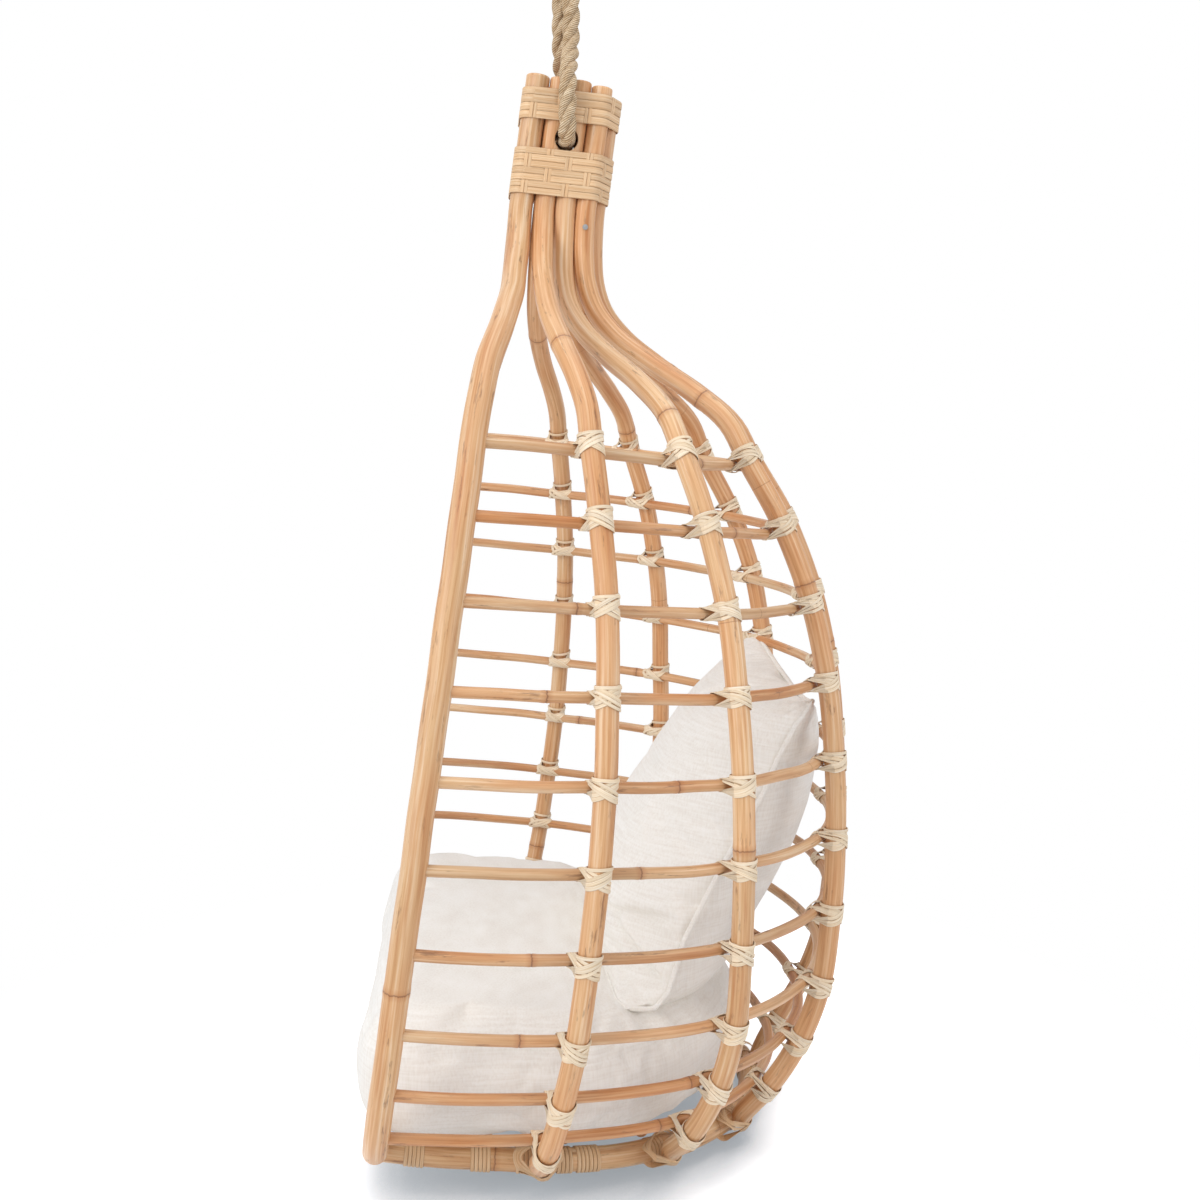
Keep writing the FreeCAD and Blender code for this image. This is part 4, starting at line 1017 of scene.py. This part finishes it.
twist = math.radians(rope["legTurn"])
theta = np.linspace(0, seizing["turns"] * 2 * math.pi, seizing["turns"] * 36)
reachOut = rope["radius"] + seizing["lift"]
legSide = np.sign(np.cos(theta)) * rope["legX"]
oval = np.stack([legSide + reachOut * np.cos(theta), reachOut * np.sin(theta)], -1)
turned = oval @ np.array([[math.cos(twist), math.sin(twist)], [-math.sin(twist), math.cos(twist)]])
low, high = seizing["span"][0] + seizing["inset"], seizing["span"][1] - seizing["inset"]
rise = low + (high - low) * theta / theta[-1]
seizingLine = np.column_stack([turned, rise])
stations = np.linspace(0, lengths(seizingLine)[-1], 620)
points, tangents = placed(seizingLine, stations)
side, up = crossFrame(tangents, np.array([0.0, 0.0, 1.0]))
addPiece("rope_seizing_twine", spun(points, side, up, seizing["twine"], 8, stations, seizing["yarnTwist"]), twine,
         ["rope_seizing"], upright=False, sharp=0)

for node in ("swivel_body", "swivel_cap", "swivel_thrust_bearing", "swivel_stem_nut", "swivel_lower_eye",
             "hanging_ring", "rope_thimble", "head_nails"):
    ground = node == "swivel_thrust_bearing"
    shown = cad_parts[node]
    shown.data.materials.clear()
    shown.data.materials.append(groundSteel if ground else zinc)


# ---- cushions

cloth = {"quality": 5, "mass": 0.3, "tension_stiffness": 14, "compression_stiffness": 14, "shear_stiffness": 6,
         "bending_stiffness": 0.6, "use_pressure": True, "shrink_min": -0.02}


def stuffed(name, points, faces, values, pinned=None):
    # voxel remesh, then cloth blown up without gravity, no point further than the cap; last one subdivision
    mesh = bpy.data.meshes.new(name)
    mesh.from_pydata((points.reshape(-1, 3) * 0.001).tolist(), [], faces)
    piece = newObject(name, mesh)
    remesh = piece.modifiers.new("remesh", "REMESH")
    remesh.mode, remesh.voxel_size = "VOXEL", values["voxel"] * 0.001
    shell = evaluated(piece)
    piece.modifiers.clear()
    piece.data = shell
    before = meshPoints(shell)
    if pinned is not None:
        group = piece.vertex_groups.new(name="seam")
        group.add(np.nonzero(pinned(before * 1000))[0].tolist(), 1.0, "REPLACE")
    settings = piece.modifiers.new("cloth", "CLOTH").settings
    for key, value in {**cloth, "uniform_pressure_force": values["pressure"]}.items():
        setattr(settings, key, value)
    settings.effector_weights.gravity = 0
    if pinned is not None:
        settings.vertex_group_mass = "seam"
    for step in range(1, 21):
        bpy.context.scene.frame_set(step)
    after = meshPoints(piece.evaluated_get(bpy.context.evaluated_depsgraph_get()).data)
    piece.modifiers.clear()
    bpy.context.scene.frame_set(1)
    moved = after - before
    size = np.linalg.norm(moved, axis=1, keepdims=True)
    movePoints(shell, before + moved * np.minimum(1, values["cap"] * 0.001 / np.maximum(size, 1e-9)))
    print(name, "blown up, most", round(float(size.max()) * 1000, 1), "mm")
    finer = piece.modifiers.new("finer", "SUBSURF")
    finer.levels = finer.render_levels = 1
    soft = evaluated(piece)
    bpy.data.objects.remove(piece)
    return soft


def addSoft(name, soft, finish, stands):
    soft.name = name
    soft.shade_smooth()
    onChair(name, soft, finish, stands)


def seatOutline(inset, count=180):
    # bowed front, round corners, straight sides and a half ellipse behind, all drawn in by the inset
    front, half, back = seat["front"] + inset, seat["half"] - inset, seat["back"] - inset
    corner = seat["corner"] * (1 - inset / seat["cornerFade"])
    turn = seat["bend"] + seat["bendShift"] * inset
    bowX = np.linspace(0, half - corner, 24)
    bow = np.stack([bowX, front + seat["bow"] * (bowX / (half - corner))**2], -1)
    a = np.radians(np.linspace(90, 0, 14))
    bend = np.stack([half - corner + corner * np.cos(a), front + seat["bow"] + corner - corner * np.sin(a)], -1)
    a = np.radians(np.linspace(0, 90, 40))
    behind = np.stack([half * np.cos(a), turn + (back - turn) * np.sin(a)], -1)
    right = np.vstack([bow, bend[1:], behind])
    ring = np.vstack([right, (right * [-1, 1])[-2:0:-1], right[:1]])
    run = lengths(ring)
    return sampled(np.linspace(0, run[-1], count, endpoint=False), run, ring)


layerRows = np.array(seat["layers"], float)
fine = np.linspace(0, len(layerRows) - 1, 41)
layers = sampled(fine, np.arange(len(layerRows)), layerRows)
rings = np.array([np.column_stack([seatOutline(inset + seat["shrink"]), np.full(180, seat["bottom"] + rise)])
                  for rise, inset in layers])
rings[..., 2] -= 4.0 * (rings[..., 2] > 140)  # room for the top to swell
seatSoft = stuffed("seat cushion shell", hung(rings) * 1000, gridFaces(len(rings), 180), seat)
place = meshPoints(seatSoft)
dent = seat["dent"]  # pressed down by the pillow: a plateau with soft edges, on the top side only
press = dent["deep"] / (1 + np.exp((abs(place[:, 0]) - dent["half"]) / dent["soft"]))
press = press / (1 + np.exp((dent["front"] - place[:, 1]) / dent["soft"]))
place[:, 2] -= press * np.clip((place[:, 2] - dent["from"]) / dent["over"], 0, 1)
movePoints(seatSoft, place)
addSoft("seat_cushion_cover", seatSoft, cotton, ["seat_cushion"])
print("seat cushion made")

pillow = {  # the near side's seam from the bottom up as y, z, then how far the middle of top and bottom lies off it
    "side": [(206, 167), (246, 166), (263, 186), (273, 222), (281, 257), (297, 291), (313, 322), (338, 365), (357, 413),
             (371, 460), (387, 500), (404, 532)],
    "half": (242.0, 189.0), "drawn": 28.0, "topDip": (20.0, -34.0), "footRise": (-8.0, 6.0), "farRise": 30.0,
    "lean": 21.0, "footLean": 62, "footFrom": 0.62, "front": 88.0, "behind": 104.0, "shrink": 6.0, "rest": 165.0,
    "restSoft": 8, "corner": 0.16, "piping": 3.1, "pipingOut": 0.014, "seamHeld": 7.0,
    "voxel": 5.0, "cap": 14.0, "pressure": 4.0, "fill": 0.6,
    "folds": {"deep": 4.5, "count": 8, "halfHeight": 193.0, "fade": 65.0, "from": 25.0},
    "creases": [(9.0, 262.0, 6.0, 0.25), (-4.0, 275.0, 8.0, 0.25), (8.0, 196.0, 7.0, -0.5), (-4.0, 208.0, 7.0, -0.5)],
    "creaseAt": 200, "creaseFrom": 60, "creaseOver": 80, "creaseClear": 18, "creaseFront": 132, "frontSoft": 30,
}


def pillowSpine(a, b):
    # the seam's line across the pillow: up its side rows, wider at the foot, its sides and top drawn in
    rows = np.array(pillow["side"], float)
    run = lengths(rows)
    at = (np.clip(b, -1, 1) + 1) / 2 * run[-1]
    y, z = np.interp(at, run, rows[:, 0]), np.interp(at, run, rows[:, 1])
    up = np.clip(b, 0, 1)**3 * (1 - a**2)
    down = np.clip(-b, 0, 1)**3 * (1 - a**2)
    foot, top = pillow["half"]
    reach = foot + (top - foot) * (b + 1) / 2 - pillow["drawn"] * (1 - b**2)
    y = y + pillow["topDip"][0] * up + pillow["footRise"][0] * down
    z = z + pillow["topDip"][1] * up + pillow["footRise"][1] * down
    z = z + pillow["farRise"] * np.clip(b, 0, 1)**2 * (1 - a) / 2
    return np.stack([a * reach, y, z], -1)


def pillowPlace(a, b, level):
    # off the seam's line along the pillow's lean, up and down at the foot, flattened where it rests on the seat
    foot = np.clip((-b - pillow["footFrom"]) / (1 - pillow["footFrom"]), 0, 1)
    lean = np.radians(pillow["lean"] + pillow["footLean"] * foot**1.5)
    away = np.stack([0 * lean, np.cos(lean), -np.sin(lean)], -1)
    place = pillowSpine(a, b) + np.asarray(level)[..., None] * away
    low, soft = place[..., 2] - pillow["rest"], pillow["restSoft"]
    place[..., 2] = pillow["rest"] + np.where(low > soft, low, soft * np.exp(np.minimum((low - soft) / soft, 0)))
    return place


def pillowSheet(count=90):
    # two crowned sheets that meet at the seam: depth falls as a power of the distance to each side
    line = np.sin(np.linspace(-math.pi / 2, math.pi / 2, count))
    a, b = np.meshgrid(line, line, indexing="ij")
    crown = np.clip(1 - abs(a)**2.5, 0, 1)**0.7 * np.clip(1 - abs(b)**3, 0, 1)**0.6
    fold, folds = pillow["folds"], np.zeros_like(a)
    for i, (ca, cb) in enumerate(((1, 1), (1, -1), (-1, 1), (-1, -1))):
        away = np.hypot((a - ca) * pillow["half"][0], (b - cb) * fold["halfHeight"])
        around = np.arctan2(abs(b - cb), abs(a - ca) + 1e-9)
        wave = fold["deep"] * np.sin(fold["count"] * around + i)
        folds += wave * np.exp(-away / fold["fade"]) * np.clip(away / fold["from"], 0, 1)
    folds = folds * np.clip(crown * 3, 0, 1)
    behind = (pillow["behind"] - pillow["shrink"]) * crown * (1 - 0.2 * b) + folds
    before = (pillow["front"] - pillow["shrink"]) * crown + folds
    grid = np.arange(count * count).reshape(count, count)
    quads = np.stack([grid[:-1, :-1], grid[1:, :-1], grid[1:, 1:], grid[:-1, 1:]], -1).reshape(-1, 4)
    inner = np.concatenate([pillowPlace(a, b, behind).reshape(-1, 3), pillowPlace(a, b, -before).reshape(-1, 3)])
    faces = quads[:, ::-1].tolist() + (quads + count * count).tolist()
    return inner, faces


def seamLine(count=400, out=0.0):
    # round the four sides of the pillow at its seam, the corners a little rounded
    t = circle(count)
    a = np.sign(np.cos(t)) * abs(np.cos(t))**pillow["corner"]
    b = np.sign(np.sin(t)) * abs(np.sin(t))**pillow["corner"]
    return pillowPlace(a * (1 + out), b * (1 + out), 0 * a)


seam = hung(seamLine(500)) * 1000


def fromSeam(points):
    # distance of each point from the nearest point of the seam
    apart = (points**2).sum(1)[:, None] + (seam**2).sum(1) - 2 * points @ seam.T
    return np.sqrt(np.maximum(apart.min(1), 0))


points, faces = pillowSheet()
pillowSoft = stuffed("pillow shell", hung(points) * 1000, faces, pillow,
                     pinned=lambda shell: fromSeam(shell) < pillow["seamHeld"])
place = meshPoints(pillowSoft) * 1000
lean = math.radians(attitude["leanBack"])
height = (place[:, 2] + attitude["drop"]) * math.cos(lean) + (place[:, 1] + attitude["setback"]) * math.sin(lean)
onNear = np.clip((place[:, 0] - pillow["creaseFrom"]) / pillow["creaseOver"], 0, 1)
offSeam = np.clip(fromSeam(place) / pillow["creaseClear"], 0, 1)
for depth, at, wide, slope in pillow["creases"]:  # folds that run from the near seam's lower half across the front
    fold = depth * np.exp(-((height - at - slope * (place[:, 0] - pillow["creaseAt"])) / wide)**2)
    onFront = np.clip((pillow["creaseFront"] - place[:, 1]) / pillow["frontSoft"], 0, 1)
    place[:, 1] += fold * onNear * offSeam * onFront
movePoints(pillowSoft, place * 0.001)
addSoft("back_pillow_cover", pillowSoft, cotton, ["back_pillow"])

ring = seamLine(1200, pillow["pipingOut"])
ring = np.vstack([ring, ring[:1]])
run = lengths(ring)
ring = sampled(np.linspace(0, run[-1], 520, endpoint=False), run, ring)
ahead = unit(np.roll(ring, -1, 0) - np.roll(ring, 1, 0))
lean = math.radians(pillow["lean"])
side, up = crossFrame(ahead, np.array([0.0, math.cos(lean), -math.sin(lean)]))
surface = tube(ring, side, up, pillow["piping"], circle(10)[None, :, None])
pipingPiece = addPiece("back_pillow_piping", (surface, gridFaces(len(ring), 10, closed=True), {}), piping,
                       sharp=0)
print("pillow made")


# ---- floor, light and camera

stageSet = {"floorZ": -1.606, "reach": 14, "ambient": 0.62, "glow": 0.74, "contact": 0.11, "bare": (0.4, 0.9)}

floorMesh = bpy.data.meshes.new("floor")
floorZ, reach = stageSet["floorZ"], stageSet["reach"]
floorMesh.from_pydata([(x * reach, y * reach, floorZ) for x, y in ((-1, -1), (1, -1), (1, 1), (-1, 1))], [],
                      [[0, 1, 2, 3]])
newObject("floor", floorMesh)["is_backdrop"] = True
material, tree, shader = newMaterial("white paper")  # white seamless paper: bare white away from the chair's shadow
tree.nodes.remove(shader)
# painted contact shadow: ambient occlusion darkens the paper's colour and its glow near the chair, on top of the real
# shadow that the lamps cast in its diffuse part
paintedContactShadow = add(tree, "AmbientOcclusion", {"samples": 16}, {"Distance": stageSet["contact"]}).outputs["AO"]
shade = blended(tree, spread(tree, paintedContactShadow, 0.45, 0.92, 0.0, 1.0), "#A0A7AD", "#FAFBFC")
glow = add(tree, "Emission", {}, {"Color": shade, "Strength": stageSet["glow"]}).outputs[0]
paper = add(tree, "BsdfDiffuse", {}, {"Color": "#E8EAEC"}).outputs[0]
shaded = add(tree, "BsdfDiffuse", {}, {"Color": shade}).outputs[0]
bright = add(tree, "AddShader", {}, {0: glow, 1: shaded}).outputs[0]
blank = add(tree, "Emission", {}, {"Color": (1, 1, 1, 1), "Strength": 1.0}).outputs[0]
level = stretched(tree, add(tree, "TexCoord").outputs["Object"], (1, 1, 0))
away = add(tree, "VectorMath", {"operation": "LENGTH"}, {0: level}).outputs["Value"]
fade = add(tree, "MapRange", {"interpolation_type": "SMOOTHSTEP"},
           {0: away, 1: stageSet["bare"][0], 2: stageSet["bare"][1], 3: 0.0, 4: 1.0}).outputs[0]
lit = add(tree, "MixShader", {}, {0: fade, 1: bright, 2: blank}).outputs[0]
mixed = add(tree, "MixShader", {}, {0: bareRays(tree), 1: paper, 2: lit}).outputs[0]
fill(tree, tree.nodes["Material Output"], {"Surface": mixed})
floorMesh.materials.append(material)

world = bpy.data.worlds.new("studio")
bpy.context.scene.world = world
world.use_nodes = True
tree = world.node_tree
soft = add(tree, "Background", {}, {"Color": "#F4F7FF", "Strength": stageSet["ambient"]}).outputs[0]
white = add(tree, "Background", {}, {"Color": (1, 1, 1, 1), "Strength": 1.0}).outputs[0]
mixed = add(tree, "MixShader", {}, {0: bareRays(tree), 1: soft, 2: white}).outputs[0]
fill(tree, tree.nodes["World Output"], {"Surface": mixed})


def lamp(name, place, target, size, power):
    light = bpy.data.lights.new(name, "AREA")
    light.shape, light.size, light.energy = "DISK", size, power
    holder = newObject(name, light)
    back = unit(np.array(place, float) - np.array(target, float))
    side = unit(np.cross([0, 0, 1], back))
    turn = np.column_stack([side, np.cross(back, side), back])
    holder.matrix_world = Matrix.Translation(place) @ Matrix(turn.tolist()).to_4x4()
    holder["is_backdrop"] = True


lamps = {  # place, what it points at, width, watts
    "key": ((2.6, -2.9, 0.7), (0, -0.05, -1.0), 2.4, 76.0),
    "fill": ((2.2, 3.2, -0.2), (0, 0, -1.0), 2.4, 28.0),
    "top": ((0.3, 0.0, 2.0), (0, 0, -1.0), 2.6, 32.0),
}
for name, values in lamps.items():
    lamp(name, *values)

shot = {"place": (1.720, -0.100, -0.742), "right": (0.08476, 0.99635, 0.01080), "up": (-0.12642, 0.0, 0.99198),
        "forward": (-0.98835, 0.08545, -0.12596), "lens": 41.28, "sensor": 36.0}
cameraData = bpy.data.cameras.new("camera")
cameraData.lens, cameraData.sensor_width = shot["lens"], shot["sensor"]
cameraData.clip_start = 0.05
camera = newObject("camera", cameraData)
turn = np.column_stack([unit(np.array(shot["right"])), unit(np.array(shot["up"])), -unit(np.array(shot["forward"]))])
camera.matrix_world = Matrix.Translation(shot["place"]) @ Matrix(turn.tolist()).to_4x4()
bpy.context.scene.camera = camera
bpy.context.scene.view_settings.view_transform = "Standard"

low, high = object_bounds()
print("scene made")
